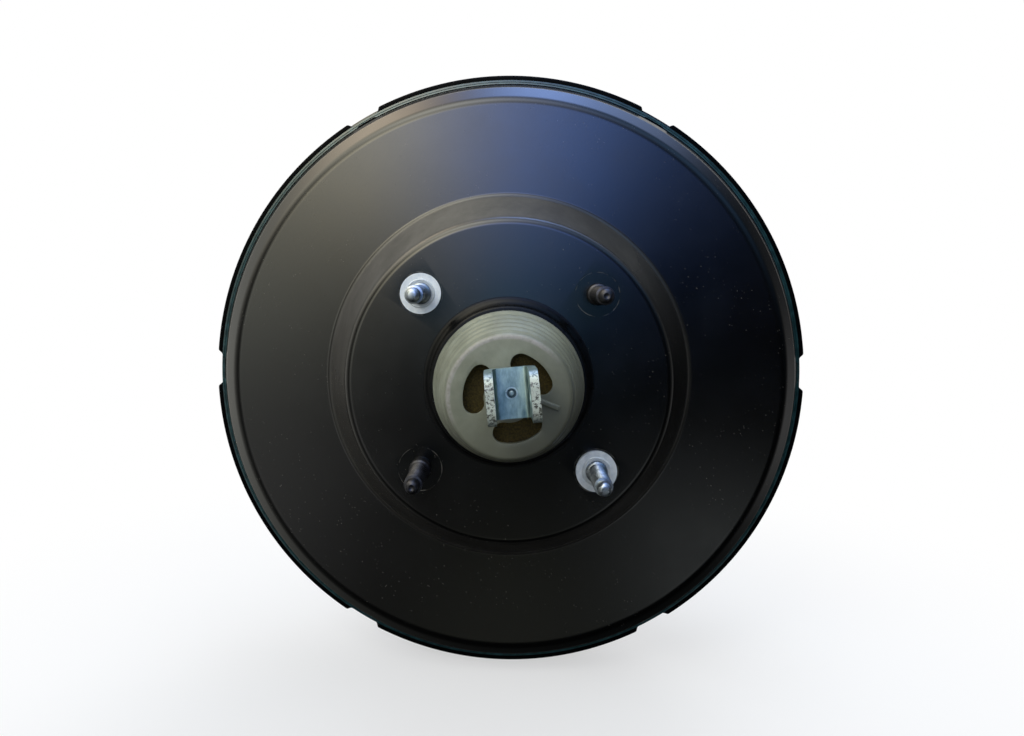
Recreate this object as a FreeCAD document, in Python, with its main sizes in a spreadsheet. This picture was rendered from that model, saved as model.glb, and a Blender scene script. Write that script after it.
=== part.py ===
import FreeCAD, Part
import math
import os
import Sketcher
from FreeCAD import Placement, Rotation, Vector

# Vacuum brake booster, in millimetres. The origin is the centre of the flat face that goes against the
# firewall, -Y points to the pedal, +Y to the engine and +Z up. Everything turned lies on the Y axis.

# Driving dimensions: alias, number, meaning
DIMENSIONS = [
    ("shell_sheet", 1.8, "thickness of both pressed shells"),
    ("rim_radius", 150.0, "outside of the front shell's skirt, the largest radius"),
    ("rim_rear", 38.6, "y of the skirt's free edge"),
    ("wall_inset", 6.0, "from the skirt's outside to the rear shell's wall"),
    ("rear_shoulder_round", 14.4, "rounding between the rear shell's wall and its flat ring"),
    ("ring_face", 22.5, "y of the rear shell's flat ring"),
    ("cone_width", 13.1, "radial width of the cone between mounting face and flat ring"),
    ("plateau_margin", 17.33, "from the mounting studs' circle to the mounting face's edge"),
    ("plateau_round", 4.4, "rounding of the mounting face's edge"),
    ("cone_foot_round", 3.0, "rounding at the foot of the cone"),
    ("neck_clearance", 10.6, "radial room between the valve body's tail and the neck"),
    ("neck_reach", 9.5, "how far the neck stands out of the mounting face"),
    ("neck_foot_round", 4.0, "rounding at the foot of the neck"),
    ("lip_width", 3.4, "width of the neck's turned-in lip"),
    ("tab_depth", 4.0, "from the skirt's free edge to the tabs' front, where the flange is held"),
    ("skirt_gap", 0.3, "radial gap between the rear shell's flange and the skirt"),
    ("bead_height", 5.0, "thickness of the diaphragm's outer bead along y"),
    ("seat_gap", 0.1, "gap where pieces of one body are seated"),
    ("tab_count", 6, "lanced tabs that lock the two shells"),
    ("tab_width", 16.0, "width of each tab"),
    ("tab_reach", 5.0, "how far a tab reaches inwards from the skirt's outside"),
    ("tab_inset", 0.8, "how far a bent tab's back lies inside the skirt"),
    ("rim_step", 4.2, "step from the skirt's outside to the front shell's wall"),
    ("wall_length", 16.4, "length of the front shell's straight wall"),
    ("dome_inset", 27.8, "radial width of the slope before the end wall"),
    ("dome_face", 102.0, "y of the front shell's end wall"),
    ("body_round", 18.0, "rounding between the straight wall and the slope"),
    ("dome_round", 14.0, "rounding between the slope and the end wall"),
    ("pad_margin", 13.0, "from a master cylinder stud's axis to the pad's edge"),
    ("pad_foot_width", 6.0, "radial width of the pad's slope"),
    ("pad_height", 14.0, "height of the master cylinder pad over the end wall"),
    ("pad_round", 4.0, "rounding of the pad's edges"),
    ("pilot_radius", 20.5, "bore that centres the master cylinder"),
    ("pilot_depth", 12.0, "depth of that bore"),
    ("rod_hole_radius", 9.0, "hole in the bottom of the pilot bore"),
    ("stud_spacing", 80.0, "side of the square of mounting studs"),
    ("stud_radius", 4.0, "thread radius of every stud, M8"),
    ("stud_reach", 28.4, "how far a mounting stud stands out"),
    ("stud_tip_radius", 3.1, "radius of the pilot point"),
    ("stud_tip_length", 4.6, "length of the pilot point"),
    ("stud_tip_round", 1.9, "rounding of the pilot point's end"),
    ("collar_radius", 4.9, "radius of a stud's collar"),
    ("collar_reach", 2.6, "how far the collar stands out of the mounting face"),
    ("cylinder_collar_reach", 1.5, "how far a master cylinder stud's collar stands out of the pad"),
    ("stud_head_radius", 8.0, "radius of a stud's head"),
    ("stud_head_height", 3.8, "height of a stud's head"),
    ("stud_hole_gap", 0.15, "radial gap between a collar and its hole"),
    ("seat_radius", 10.2, "coined seat round each mounting stud"),
    ("seat_depth", 0.3, "depth of a coined seat"),
    ("washer_radius", 9.3, "outside of the retaining washers"),
    ("washer_height", 2.1, "height of the retaining washers"),
    ("washer_dish", 0.7, "depth of the washers' dish"),
    ("washer_rim", 1.3, "width of the washers' raised rim"),
    ("stud_plate_thickness", 3.0, "thickness of both stud plates"),
    ("stud_plate_margin", 10.93, "from the mounting studs' circle to their plate's edge"),
    ("front_plate_inset", 4.0, "from the pad's edge to the front stud plate's edge"),
    ("cylinder_stud_spacing", 82.0, "distance between the two master cylinder studs"),
    ("cylinder_stud_reach", 26.0, "how far they stand out of the pad"),
    ("port_angle", 130.0, "its angle from +X towards +Z"),
    ("port_hole_radius", 9.5, "hole in the front shell for the grommet"),
    ("grommet_flange_radius", 13.0, "outside of the grommet's flange"),
    ("grommet_flange_height", 3.0, "height of the grommet's flange"),
    ("grommet_lip_radius", 11.6, "outside of the grommet's inner lip"),
    ("grommet_reach", 5.0, "how far the grommet reaches inside the shell"),
    ("valve_stem_radius", 6.4, "stem of the check valve"),
    ("valve_stem_bore", 3.6, "bore of that stem"),
    ("valve_stem_reach", 9.5, "how far the stem reaches inside the shell"),
    ("valve_cup_radius", 14.0, "outside of the check valve's cup"),
    ("valve_cup_height", 6.0, "height of the cup"),
    ("valve_cap_height", 11.6, "height of the cap with the hose nozzle"),
    ("valve_wall", 1.8, "wall of the check valve"),
    ("nozzle_radius", 5.5, "outside of the hose nozzle"),
    ("nozzle_root_step", 0.5, "step from the hose nozzle down to its thinner root"),
    ("nozzle_root_reach", 0.8, "how far that root stands out of the check valve's cup"),
    ("nozzle_groove", 0.7, "depth of the groove behind the nozzle's end bead"),
    ("nozzle_bore", 3.2, "bore of the hose nozzle"),
    ("nozzle_length", 34.0, "from the check valve's axis to the nozzle's end"),
    ("nozzle_bead", 5.0, "length of the nozzle's tapered end bead"),
    ("nozzle_groove_width", 1.0, "width of the groove behind that bead"),
    ("disc_radius", 9.0, "radius of the check valve's disc"),
    ("disc_thickness", 1.6, "its thickness"),
    ("disc_travel", 1.5, "how far the disc lifts"),
    ("disc_spring_wire", 0.35, "wire radius of the disc's spring"),
    ("disc_spring_turns", 2.5, "turns of the disc's spring"),
    ("disc_spring_inset", 2.0, "from the disc's edge to its spring's wire, at the disc"),
    ("disc_spring_taper", 1.0, "how much smaller that spring is at the cap"),
    ("tail_radius", 22.4, "outside of the valve body's tail"),
    ("tail_end", -37.5, "y of the end of the tail"),
    ("tail_wall", 2.6, "wall of the valve body's tail"),
    ("filter_floor", -15.0, "y where the filter bore ends"),
    ("filter_step", 2.6, "step between the filter's bore and the poppet's"),
    ("poppet_floor", 7.0, "y where that bore ends"),
    ("vacuum_gap", 3.6, "gap between the vacuum seat and the poppet's bore"),
    ("seat_ring_width", 1.4, "width of the vacuum seat"),
    ("seat_ring_height", 3.8, "height of the vacuum seat"),
    ("plunger_bore", 9.0, "bore for the plunger"),
    ("disc_pocket", 34.0, "y of the bottom of the reaction disc's pocket"),
    ("disc_pocket_step", 4.2, "step between the plunger's bore and the reaction disc's pocket"),
    ("hub_front", 46.0, "y of the front of the valve body"),
    ("hub_step", 7.6, "step between the tail and the hub in front of its flange"),
    ("hub_flange_width", 12.0, "width of the valve body's flange beyond the hub"),
    ("hub_flange_rear", 25.2, "y of the rear of that flange"),
    ("hub_flange_thickness", 3.0, "thickness of that flange"),
    ("vacuum_hole_radius", 1.4, "radius of the vacuum passages"),
    ("vacuum_hole_angle", 25.0, "angle of the passages from +X and -X"),
    ("membrane", 2.2, "thickness of the diaphragm"),
    ("inner_bead_width", 6.0, "width of the diaphragm's inner bead"),
    ("inner_bead_height", 4.8, "height of the diaphragm's inner bead"),
    ("membrane_lift", 1.1, "gap between the valve body's flange and the diaphragm's web"),
    ("plate_sheet", 1.6, "thickness of the diaphragm plate"),
    ("plate_seat_width", 16.0, "width of the diaphragm plate's seat round the hub"),
    ("plate_inset", 16.0, "from the rear shell's wall to the diaphragm plate's rim"),
    ("plate_curl", 8.0, "height of the plate's curled rim"),
    ("fold_inset", 7.0, "from the rear shell's wall to the diaphragm's fold"),
    ("fold_rise", 5.0, "rise of the diaphragm over the plate's rim"),
    ("bearing_front", 8.0, "y of the front of the rear guide ring's flange"),
    ("sleeve_wall", 4.0, "wall of the guide ring's sleeve"),
    ("running_gap", 0.06, "radial running clearance"),
    ("seal_height", 6.3, "height of the rear seal"),
    ("seal_groove", 2.6, "depth of the groove in the rear seal"),
    ("disc_gap", 0.2, "radial gap round the rubber reaction disc"),
    ("reaction_disc_height", 5.9, "its height"),
    ("output_head_height", 4.2, "height of the output rod's head"),
    ("output_rod_radius", 5.5, "radius of the output rod"),
    ("output_tip_gap", 0.6, "from the output rod's tip to the bottom of the pilot bore"),
    ("output_tip_radius", 4.2, "radius of the output rod's adjusting screw"),
    ("output_tip_length", 1.8, "length of that screw"),
    ("rod_clip_thickness", 0.8, "thickness of the clip that holds the output rod"),
    ("front_seal_radius", 14.0, "outside of the front seal's flange"),
    ("front_seal_height", 4.4, "height of that flange"),
    ("seal_cup_sheet", 1.2, "thickness of the front seal's cup"),
    ("seal_cup_length", 11.0, "length of that cup"),
    ("seal_cup_gap", 1.5, "gap between the output rod and that cup"),
    ("key_rear", 19.0, "y of the rear of the stop key"),
    ("key_thickness", 2.4, "thickness of the stop key"),
    ("key_width", 15.0, "width of the stop key"),
    ("key_reach", 3.2, "how far the stop key stands out of the tail"),
    ("key_leg", 10.0, "how far its legs reach past the axis"),
    ("key_gap", 0.3, "gap round the stop key and under the check valve's disc"),
    ("plunger_travel", 1.5, "travel of the plunger in the valve body"),
    ("plunger_groove_radius", 4.6, "core of the plunger's groove"),
    ("plunger_nose_radius", 6.0, "radius of the plunger's nose"),
    ("plunger_nose_length", 4.0, "length of the plunger's nose"),
    ("plunger_rear", 2.5, "y of the plunger's rear face"),
    ("air_seat_step", 3.0, "radial step between the vacuum seat and the plunger's air seat"),
    ("plunger_flange_height", 2.1, "height of the plunger's air seat"),
    ("ball_centre", 9.0, "y of the centre of the input rod's ball"),
    ("ball_radius", 6.0, "radius of that ball"),
    ("ball_gap", 0.08, "gap round that ball"),
    ("socket_mouth", 5.3, "radius of the socket's mouth"),
    ("poppet_lip_thickness", 2.4, "thickness of the poppet's lip"),
    ("poppet_overlap", 0.8, "how far the poppet's lip reaches past the vacuum seat"),
    ("poppet_inner_radius", 7.6, "bore of the poppet"),
    ("poppet_wall", 1.5, "wall of the poppet's bellows"),
    ("poppet_bead_height", 3.8, "height of the poppet's rear bead"),
    ("poppet_length", 14.0, "length of the poppet"),
    ("retainer_bore", 7.8, "bore of the poppet's retainer"),
    ("retainer_sheet", 1.2, "thickness of the poppet's retainer"),
    ("poppet_spring_gap", 0.5, "from the poppet's bellows to its spring's wire, to the wire's middle"),
    ("poppet_spring_wire", 0.55, "wire radius of the poppet's spring"),
    ("poppet_spring_turns", 3.0, "turns of the poppet's spring"),
    ("filter_front", -28.8, "y of the front of the filter foam"),
    ("filter_width", 10.1, "radial width of the filter foam"),
    ("silencer_front", -19.5, "y of the front of the silencer felt"),
    ("silencer_width", 5.1, "radial width of the silencer felt"),
    ("return_spring_wire", 1.9, "wire radius of the main spring"),
    ("spring_hub_gap", 7.0, "from the hub to the main spring's wire at the plate"),
    ("spring_pilot_gap", 5.7, "from the pilot tube to the main spring's wire at the pad"),
    ("return_spring_turns", 5.0, "turns of the main spring"),
    ("input_rod_radius", 5.0, "radius of the input rod"),
    ("input_neck_radius", 3.8, "radius of its neck behind the ball"),
    ("input_neck_length", 13.0, "from the ball's centre to the end of that neck"),
    ("input_rod_length", 52.0, "from the ball's centre to the clevis"),
    ("tenon_radius", 2.4, "radius of the tenon riveted in the clevis"),
    ("tenon_rise", 0.35, "height of the riveted tenon's rim and punch mark"),
    ("tenon_rim", 0.5, "width of the riveted tenon's rim"),
    ("punch_radius", 0.9, "radius of the punch mark in the tenon's end"),
    ("rod_tilt", 3.0, "tilt of the input rod at rest, upwards"),
    ("rod_sway", 1.1, "swing of the input rod at rest, towards +X"),
    ("clevis_roll", 5.5, "roll of the clevis about the rod at rest"),
    ("clevis_width", 19.6, "width of the clevis over its ears"),
    ("clevis_strip", 19.6, "height of the clevis"),
    ("clevis_sheet", 3.2, "thickness of the clevis"),
    ("clevis_bend", 1.6, "inner bend radius of the clevis"),
    ("clevis_length", 23.5, "length of the clevis"),
    ("clevis_ear_round", 6.5, "rounding of the ears' corners"),
    ("pin_radius", 4.1, "radius of the hole for the pedal pin"),
    ("pin_from_end", 9.0, "from the pin's centre to the end of the ears"),
    ("spring_cup_radius", 10.6, "outside of the cup on the input rod"),
    ("spring_cup_place", 35.0, "from the ball's centre to the cup"),
    ("spring_cup_sheet", 1.2, "thickness of that cup"),
    ("input_spring_radius", 8.4, "mean radius of the input rod's spring"),
    ("input_spring_wire", 0.8, "wire radius of the input rod's spring"),
    ("input_spring_turns", 4.0, "turns of the input rod's spring"),
    ("boot_inset", 1.8, "from the neck's outside to the boot's base bead"),
    ("boot_base_height", 3.2, "height of the boot's base bead"),
    ("boot_step", 1.4, "step from the boot's base bead to its side"),
    ("boot_clearance", 2.6, "from the valve body's tail to the outside of the boot's end"),
    ("boot_end_round", 1.2, "rounding of the boot's end"),
    ("boot_end_gap", 0.3, "gap between the tail and the boot's end"),
    ("boot_wall", 1.7, "wall of the boot"),
    ("boot_end_wall", 2.5, "thickness of the boot's end"),
    ("boot_rib_height", 0.7, "height of the boot's shallow rings"),
    ("boot_rib_width", 3.2, "width of those rings"),
    ("boot_groove_gap", 0.1, "gap between the boot's groove and the neck's lip"),
    ("boot_lip_gap", 1.0, "gap between the boot's inner lip and the neck"),
    ("boot_lip_height", 1.8, "height of that lip"),
    ("boot_hole_radius", 8.4, "hole for the input rod in the boot's end"),
    ("slot_inner_radius", 10.2, "inner radius of the air slots"),
    ("slot_outer_radius", 17.9, "outer radius of the air slots"),
    ("slot_span", 46.0, "angle between the centres of a slot's rounded ends"),
    ("slot_angle", 46.0, "angle of the first slot's middle from +X"),
    ("slot_count", 3, "number of air slots"),
    ("rib_length", 8.8, "length of the moulded bar on the boot's end"),
    ("rib_width", 2.8, "width of that bar"),
    ("rib_height", 1.0, "height of that bar"),
    ("rib_place", 16.2, "distance of that bar from the axis"),
    ("rib_angle", -9.1, "angle of that bar's middle from +X"),
    ("rib_turn", -20.7, "direction of that bar from +X"),
]


# A size knows its number and the formula that the document keeps for it
class Size:
    def __init__(self, number, formula):
        self.number = number
        self.formula = formula

    def _with(self, other, sign, number):
        text = other.formula if isinstance(other, Size) else str(other)
        return Size(number, f"({self.formula} {sign} {text})")

    def __add__(self, other):
        return self._with(other, "+", self.number + plain(other))

    def __sub__(self, other):
        return self._with(other, "-", self.number - plain(other))

    def __mul__(self, other):
        return self._with(other, "*", self.number * plain(other))

    def __truediv__(self, other):
        return self._with(other, "/", self.number / plain(other))

    def __neg__(self):
        return Size(-self.number, f"(0 - {self.formula})")


def plain(value):
    return value.number if isinstance(value, Size) else float(value)


def cosine(angle):
    return Size(math.cos(math.radians(angle.number)), f"cos({angle.formula} * 1 deg)")


def sine(angle):
    return Size(math.sin(math.radians(angle.number)), f"sin({angle.formula} * 1 deg)")


# The document and its sheet of driving dimensions
os.makedirs("parts", exist_ok=True)
doc = FreeCAD.newDocument("brake_booster")
sheet = doc.addObject("Spreadsheet::Sheet", "dims")


class Dimensions:
    pass


d = Dimensions()
for row, (alias, number, meaning) in enumerate(DIMENSIONS, 1):
    sheet.set(f"A{row}", meaning)
    sheet.set(f"B{row}", str(number))
    sheet.setAlias(f"B{row}", alias)
    setattr(d, alias, Size(float(number), f"dims.{alias}"))
doc.recompute()

nodes = []


# How far a cutting shape reaches past what it cuts, and how far an inner corner of a slope moves per
# thickness of its sheet
CUT_REACH = 1
SLOPE_SHARE = 0.55


# Helpers for bodies and sketches
def new_body(label):
    body = doc.addObject("PartDesign::Body", label)
    body.Label = label
    body.AllowCompound = True
    nodes.append(body)
    return body


def origin_part(body, role):
    return next(o for o in body.Origin.OriginFeatures if o.Role == role)


def new_sketch(body, role, offset=None):
    """Attaches a sketch to one of the body's planes; offset gives (x, y, z) on that plane, and a turn."""
    sketch = body.newObject("Sketcher::SketchObject", f"{body.Label}_sketch")
    sketch.AttachmentSupport = [(origin_part(body, role), "")]
    sketch.MapMode = "FlatFace"
    for axis, value in zip("xyz", offset or ()):
        if isinstance(value, Size):
            sketch.setExpression(f"AttachmentOffset.Base.{axis}", value.formula)
    return sketch


def fix_point(sketch, geometry, end, x, y):
    """Ties a point of the sketch to its place by two sizes, or to an axis where one is nought."""
    for kind, value, axis in (("DistanceX", x, -2), ("DistanceY", y, -1)):
        if plain(value) == 0:
            sketch.addConstraint(Sketcher.Constraint("PointOnObject", geometry, end, axis))
            continue
        fixed = Sketcher.Constraint(kind, -1, 1, geometry, end, plain(value))
        number = sketch.addConstraint(fixed)
        if isinstance(value, Size):
            sketch.setExpression(f"Constraints[{number}]", value.formula)


def draw_outline(sketch, points):
    corners = [Vector(plain(x), plain(y), 0) for x, y in points]
    first = sketch.GeometryCount
    count = len(points)
    for a, b in zip(corners, corners[1:] + corners[:1]):
        sketch.addGeometry(Part.LineSegment(a, b))
    for i in range(count):
        joined = Sketcher.Constraint("Coincident", first + i, 2, first + (i + 1) % count, 1)
        sketch.addConstraint(joined)
    for i, (x, y) in enumerate(points):
        fix_point(sketch, first + i, 1, x, y)


def draw_circle(sketch, x, y, radius):
    circle = Part.Circle(Vector(plain(x), plain(y), 0), Vector(0, 0, 1), plain(radius))
    number = sketch.addGeometry(circle)
    fix_point(sketch, number, 3, x, y)
    sized = sketch.addConstraint(Sketcher.Constraint("Radius", number, plain(radius)))
    sketch.setExpression(f"Constraints[{sized}]", radius.formula)


def revolve(body, sketch):
    turn = body.newObject("PartDesign::Revolution", f"{body.Label}_turn")
    turn.Profile = sketch
    turn.ReferenceAxis = (sketch, ["V_Axis"])
    turn.Angle = 360
    body.Tip = turn
    doc.recompute()
    return turn


def extrude(body, sketch, length, kind="PartDesign::Pad", sides="One side", reverse=False):
    """Pads or pockets a sketch by a length, or right through both ways if there is no length."""
    before = body.Shape.Volume if body.Tip else 0
    feature = body.newObject(kind, f"{body.Label}_{kind.split('::')[1].lower()}")
    feature.Profile = sketch
    feature.SideType = sides
    feature.Reversed = reverse
    if length is None:
        feature.SideType = "Two sides"
        feature.Type = "ThroughAll"
        feature.Type2 = "ThroughAll"
    else:
        feature.setExpression("Length", length.formula)
    body.Tip = feature
    doc.recompute()
    if kind == "PartDesign::Pocket" and body.Shape.Volume > before - 1e-6:
        raise RuntimeError(f"{body.Label}: a cut removed nothing")
    return feature


def around(body, feature, count):
    """Repeats a feature evenly round the Y axis."""
    ring = body.newObject("PartDesign::PolarPattern", f"{body.Label}_ring")
    ring.Originals = [feature]
    ring.Axis = (origin_part(body, "Y_Axis"), [""])
    ring.Angle = 360
    if isinstance(count, Size):
        ring.setExpression("Occurrences", count.formula)
    else:
        ring.Occurrences = count
    body.Tip = ring
    doc.recompute()


def round_corners(body, radius, corners):
    """Rounds the circular edges of a turned piece that lie at these (radius, y) corners."""
    base = body.Tip
    picked = []
    for number, edge in enumerate(base.Shape.Edges, 1):
        if not hasattr(edge.Curve, "Radius"):
            continue
        centre = edge.Curve.Center
        for r, y in corners:
            if abs(edge.Curve.Radius - plain(r)) < 1e-4 and abs(centre.y - plain(y)) < 1e-4:
                picked.append(f"Edge{number}")
    if len(picked) < len(corners):
        raise RuntimeError(f"{body.Label}: {len(picked)} of {len(corners)} corners found")
    add_fillet(body, base, picked, radius)


def add_fillet(body, base, edges, radius):
    fillet = body.newObject("PartDesign::Fillet", f"{body.Label}_round")
    fillet.Base = (base, edges)
    fillet.setExpression("Radius", radius.formula)
    body.Tip = fillet
    doc.recompute()


def turned(label, points):
    """A body turned about the Y axis from its half outline, given as (radius, y) points."""
    body = new_body(label)
    sketch = new_sketch(body, "XY_Plane")
    draw_outline(sketch, points)
    revolve(body, sketch)
    return body


def tube(label, inner, outer, rear, front):
    return turned(label, [(inner, rear), (outer, rear), (outer, front), (inner, front)])


def drill(body, role, x, y, radius, count=None):
    """Cuts a round hole right through, and repeats it round the axis."""
    sketch = new_sketch(body, role)
    draw_circle(sketch, x, y, radius)
    hole = extrude(body, sketch, None, "PartDesign::Pocket")
    if count is not None:
        around(body, hole, count)


def coil(label, base, radii, ends, turns, wire, sides):
    """A wound spring along the Y axis of its base placement; its wire has a few flat sides."""
    rear, front = ends
    lie = base.multiply(Placement(Vector(0, plain(rear), 0), Rotation(Vector(1, 0, 0), -90)))
    path = doc.addObject("Part::Helix", f"{label}_path")
    path.setExpression("Radius", radii[0].formula)
    path.setExpression("Height", (front - rear).formula)
    path.setExpression("Pitch", ((front - rear) / turns).formula)
    spread = f"atan2({(radii[1] - radii[0]).formula}; {(front - rear).formula})"
    path.setExpression("Angle", spread)
    path.Placement = lie
    section = doc.addObject("Part::RegularPolygon", f"{label}_wire")
    section.Polygon = sides
    section.setExpression("Circumradius", wire.formula)
    across = Placement(Vector(radii[0].number, 0, 0), Rotation(Vector(1, 0, 0), 90))
    section.Placement = lie.multiply(across)
    spring = doc.addObject("Part::Sweep", label)
    spring.Sections = [section]
    spring.Spine = (path, [])
    spring.Solid = True
    spring.Frenet = True
    doc.recompute()
    nodes.append(spring)


# Radii worked out from the driving dimensions, from the outside inwards
d.body_radius = d.rim_radius - d.rim_step
d.rear_wall_radius = d.rim_radius - d.wall_inset
d.dome_radius = d.body_radius - d.dome_inset
d.plate_radius = d.rear_wall_radius - d.plate_inset
d.fold_radius = d.rear_wall_radius - d.fold_inset
stud_circle = d.stud_spacing * 0.70711
d.plateau_radius = stud_circle + d.plateau_margin
d.ring_inner_radius = d.plateau_radius + d.cone_width
d.stud_plate_radius = stud_circle + d.stud_plate_margin
neck_inner = d.tail_radius + d.neck_clearance
d.neck_radius = neck_inner + d.shell_sheet
d.neck_lip_bore = neck_inner - d.lip_width
d.pad_radius = d.cylinder_stud_spacing / 2 + d.pad_margin
d.pad_foot_radius = d.pad_radius + d.pad_foot_width
d.front_plate_radius = d.pad_radius - d.front_plate_inset
d.port_radius = (d.pad_foot_radius + d.dome_radius) / 2
d.hub_radius = d.tail_radius + d.hub_step
d.hub_flange_radius = d.hub_radius + d.hub_flange_width
d.plate_step_radius = d.hub_radius + d.plate_seat_width
d.filter_bore = d.tail_radius - d.tail_wall
d.poppet_bore = d.filter_bore - d.filter_step
d.seat_ring_radius = d.poppet_bore - d.vacuum_gap
d.vacuum_hole_circle = (d.poppet_bore + d.seat_ring_radius) / 2
d.disc_pocket_radius = d.plunger_bore + d.disc_pocket_step
d.reaction_disc_radius = d.disc_pocket_radius - d.disc_gap
d.bearing_sleeve_radius = d.tail_radius + d.sleeve_wall
d.key_top = d.tail_radius + d.key_reach
d.plunger_flange_radius = d.seat_ring_radius - d.air_seat_step
d.poppet_lip_radius = d.seat_ring_radius + d.poppet_overlap
d.silencer_inner_radius = d.filter_bore - d.silencer_width
d.filter_inner_radius = d.filter_bore - d.filter_width
d.boot_base_radius = d.neck_radius - d.boot_inset
d.boot_side_radius = d.boot_base_radius - d.boot_step
d.boot_end_radius = d.tail_radius + d.boot_clearance
d.boot_lip_radius = neck_inner - d.boot_lip_gap

# Places worked out along the axis
plateau_inner = d.shell_sheet
ring_inner_face = d.ring_face + d.shell_sheet
stud_place = d.stud_spacing / 2
stud_plate_front = plateau_inner + d.stud_plate_thickness
d.flange_face = d.rim_rear + d.tab_depth
flange_front = d.flange_face + d.shell_sheet
bead_rear = flange_front + d.seat_gap
bead_front = bead_rear + d.bead_height
seat_face = bead_front + d.seat_gap
d.body_end = seat_face + d.wall_length
d.pad_face = d.dome_face + d.pad_height
skirt_inner = d.rim_radius - d.shell_sheet
body_inner = d.body_radius - d.shell_sheet
pad_inner = d.pad_face - d.shell_sheet
pilot_floor = d.pad_face - d.pilot_depth
pilot_outer = d.pilot_radius + d.shell_sheet
end_wall_inner = d.dome_face - d.shell_sheet
front_plate_rear = pad_inner - d.stud_plate_thickness
hub_flange_front = d.hub_flange_rear + d.hub_flange_thickness
d.membrane_rear = hub_flange_front + d.membrane_lift
d.output_tip = pilot_floor - d.output_tip_gap
d.boot_end = d.tail_end - d.boot_end_gap - d.boot_end_wall


def make_rear_shell():
    """Pressed shell on the pedal side: neck, mounting face, cone, flat ring, wall and flange."""
    sheet_slope = d.shell_sheet * SLOPE_SHARE
    points = [
        (d.neck_lip_bore, -d.neck_reach),
        (d.neck_radius, -d.neck_reach),
        (d.neck_radius, Size(0, "0")),
        (d.plateau_radius, Size(0, "0")),
        (d.ring_inner_radius, d.ring_face),
        (d.rear_wall_radius, d.ring_face),
        (d.rear_wall_radius, d.flange_face),
        (skirt_inner - d.skirt_gap, d.flange_face),
        (skirt_inner - d.skirt_gap, flange_front),
        (d.rear_wall_radius - d.shell_sheet, flange_front),
        (d.rear_wall_radius - d.shell_sheet, ring_inner_face),
        (d.ring_inner_radius - sheet_slope, ring_inner_face),
        (d.plateau_radius - sheet_slope, plateau_inner),
        (neck_inner, plateau_inner),
        (neck_inner, d.shell_sheet - d.neck_reach),
        (d.neck_lip_bore, d.shell_sheet - d.neck_reach),
    ]
    body = turned("rear_shell", points)
    shoulder_outer = (d.rear_wall_radius, d.ring_face)
    shoulder_inner = (d.rear_wall_radius - d.shell_sheet, ring_inner_face)
    round_corners(body, d.rear_shoulder_round, [shoulder_outer])
    round_corners(body, d.rear_shoulder_round - d.shell_sheet, [shoulder_inner])
    round_corners(body, d.plateau_round, [(d.plateau_radius, Size(0, "0"))])
    round_corners(
        body,
        d.plateau_round - d.shell_sheet,
        [(d.plateau_radius - sheet_slope, plateau_inner)],
    )
    round_corners(body, d.cone_foot_round, [(d.ring_inner_radius, d.ring_face)])
    round_corners(body, d.neck_foot_round, [(d.neck_radius, Size(0, "0"))])
    sketch = new_sketch(body, "XZ_Plane")
    draw_circle(sketch, stud_place, stud_place, d.seat_radius)
    seat = extrude(body, sketch, d.seat_depth, "PartDesign::Pocket")
    around(body, seat, 4)
    drill(body, "XZ_Plane", stud_place, stud_place, d.collar_radius + d.stud_hole_gap, 4)


def make_front_shell():
    """Deep pressed shell on the engine side, with the skirt, its tabs and the master cylinder pad."""
    slope = d.shell_sheet * SLOPE_SHARE
    points = [
        (d.rim_radius, d.rim_rear),
        (d.rim_radius, seat_face + d.shell_sheet),
        (d.body_radius, seat_face + d.shell_sheet),
        (d.body_radius, d.body_end),
        (d.dome_radius, d.dome_face),
        (d.pad_foot_radius, d.dome_face),
        (d.pad_radius, d.pad_face),
        (d.pilot_radius, d.pad_face),
        (d.pilot_radius, pilot_floor),
        (d.rod_hole_radius, pilot_floor),
        (d.rod_hole_radius, pilot_floor - d.shell_sheet),
        (pilot_outer, pilot_floor - d.shell_sheet),
        (pilot_outer, pad_inner),
        (d.pad_radius - slope, pad_inner),
        (d.pad_foot_radius - slope, end_wall_inner),
        (d.dome_radius - slope, end_wall_inner),
        (body_inner, d.body_end - slope),
        (body_inner, seat_face),
        (skirt_inner, seat_face),
        (skirt_inner, d.rim_rear),
    ]
    body = turned("front_shell", points)
    round_corners(body, d.body_round, [(d.body_radius, d.body_end)])
    round_corners(body, d.body_round - d.shell_sheet, [(body_inner, d.body_end - slope)])
    round_corners(body, d.dome_round, [(d.dome_radius, d.dome_face)])
    round_corners(body, d.dome_round - d.shell_sheet, [(d.dome_radius - slope, end_wall_inner)])
    round_corners(
        body,
        d.pad_round,
        [(d.pad_radius, d.pad_face), (d.pad_foot_radius, d.dome_face)],
    )
    round_corners(body, d.shell_sheet, [(d.rim_radius, seat_face + d.shell_sheet)])
    tab_rear = d.flange_face - d.shell_sheet
    notch = new_sketch(body, "XY_Plane")
    draw_outline(
        notch,
        [
            (skirt_inner - d.skirt_gap, d.rim_rear - CUT_REACH),
            (d.rim_radius + CUT_REACH, d.rim_rear - CUT_REACH),
            (d.rim_radius + CUT_REACH, d.flange_face),
            (skirt_inner - d.skirt_gap, d.flange_face),
        ],
    )
    notched = extrude(body, notch, d.tab_width, "PartDesign::Pocket", "Symmetric")
    around(body, notched, d.tab_count)
    tab = new_sketch(body, "XY_Plane")
    draw_outline(
        tab,
        [
            (d.rim_radius - d.tab_reach, tab_rear),
            (d.rim_radius - d.tab_inset, tab_rear),
            (d.rim_radius - d.tab_inset, d.flange_face),
            (d.rim_radius - d.tab_reach, d.flange_face),
        ],
    )
    bent = extrude(body, tab, d.tab_width, sides="Symmetric")
    around(body, bent, d.tab_count)
    drill(body, "XZ_Plane", d.cylinder_stud_spacing / 2, 0, d.collar_radius + d.stud_hole_gap, 2)
    port = new_sketch(body, "XZ_Plane")
    draw_circle(
        port,
        d.port_radius * cosine(d.port_angle),
        d.port_radius * sine(d.port_angle),
        d.port_hole_radius,
    )
    extrude(body, port, None, "PartDesign::Pocket")


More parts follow.
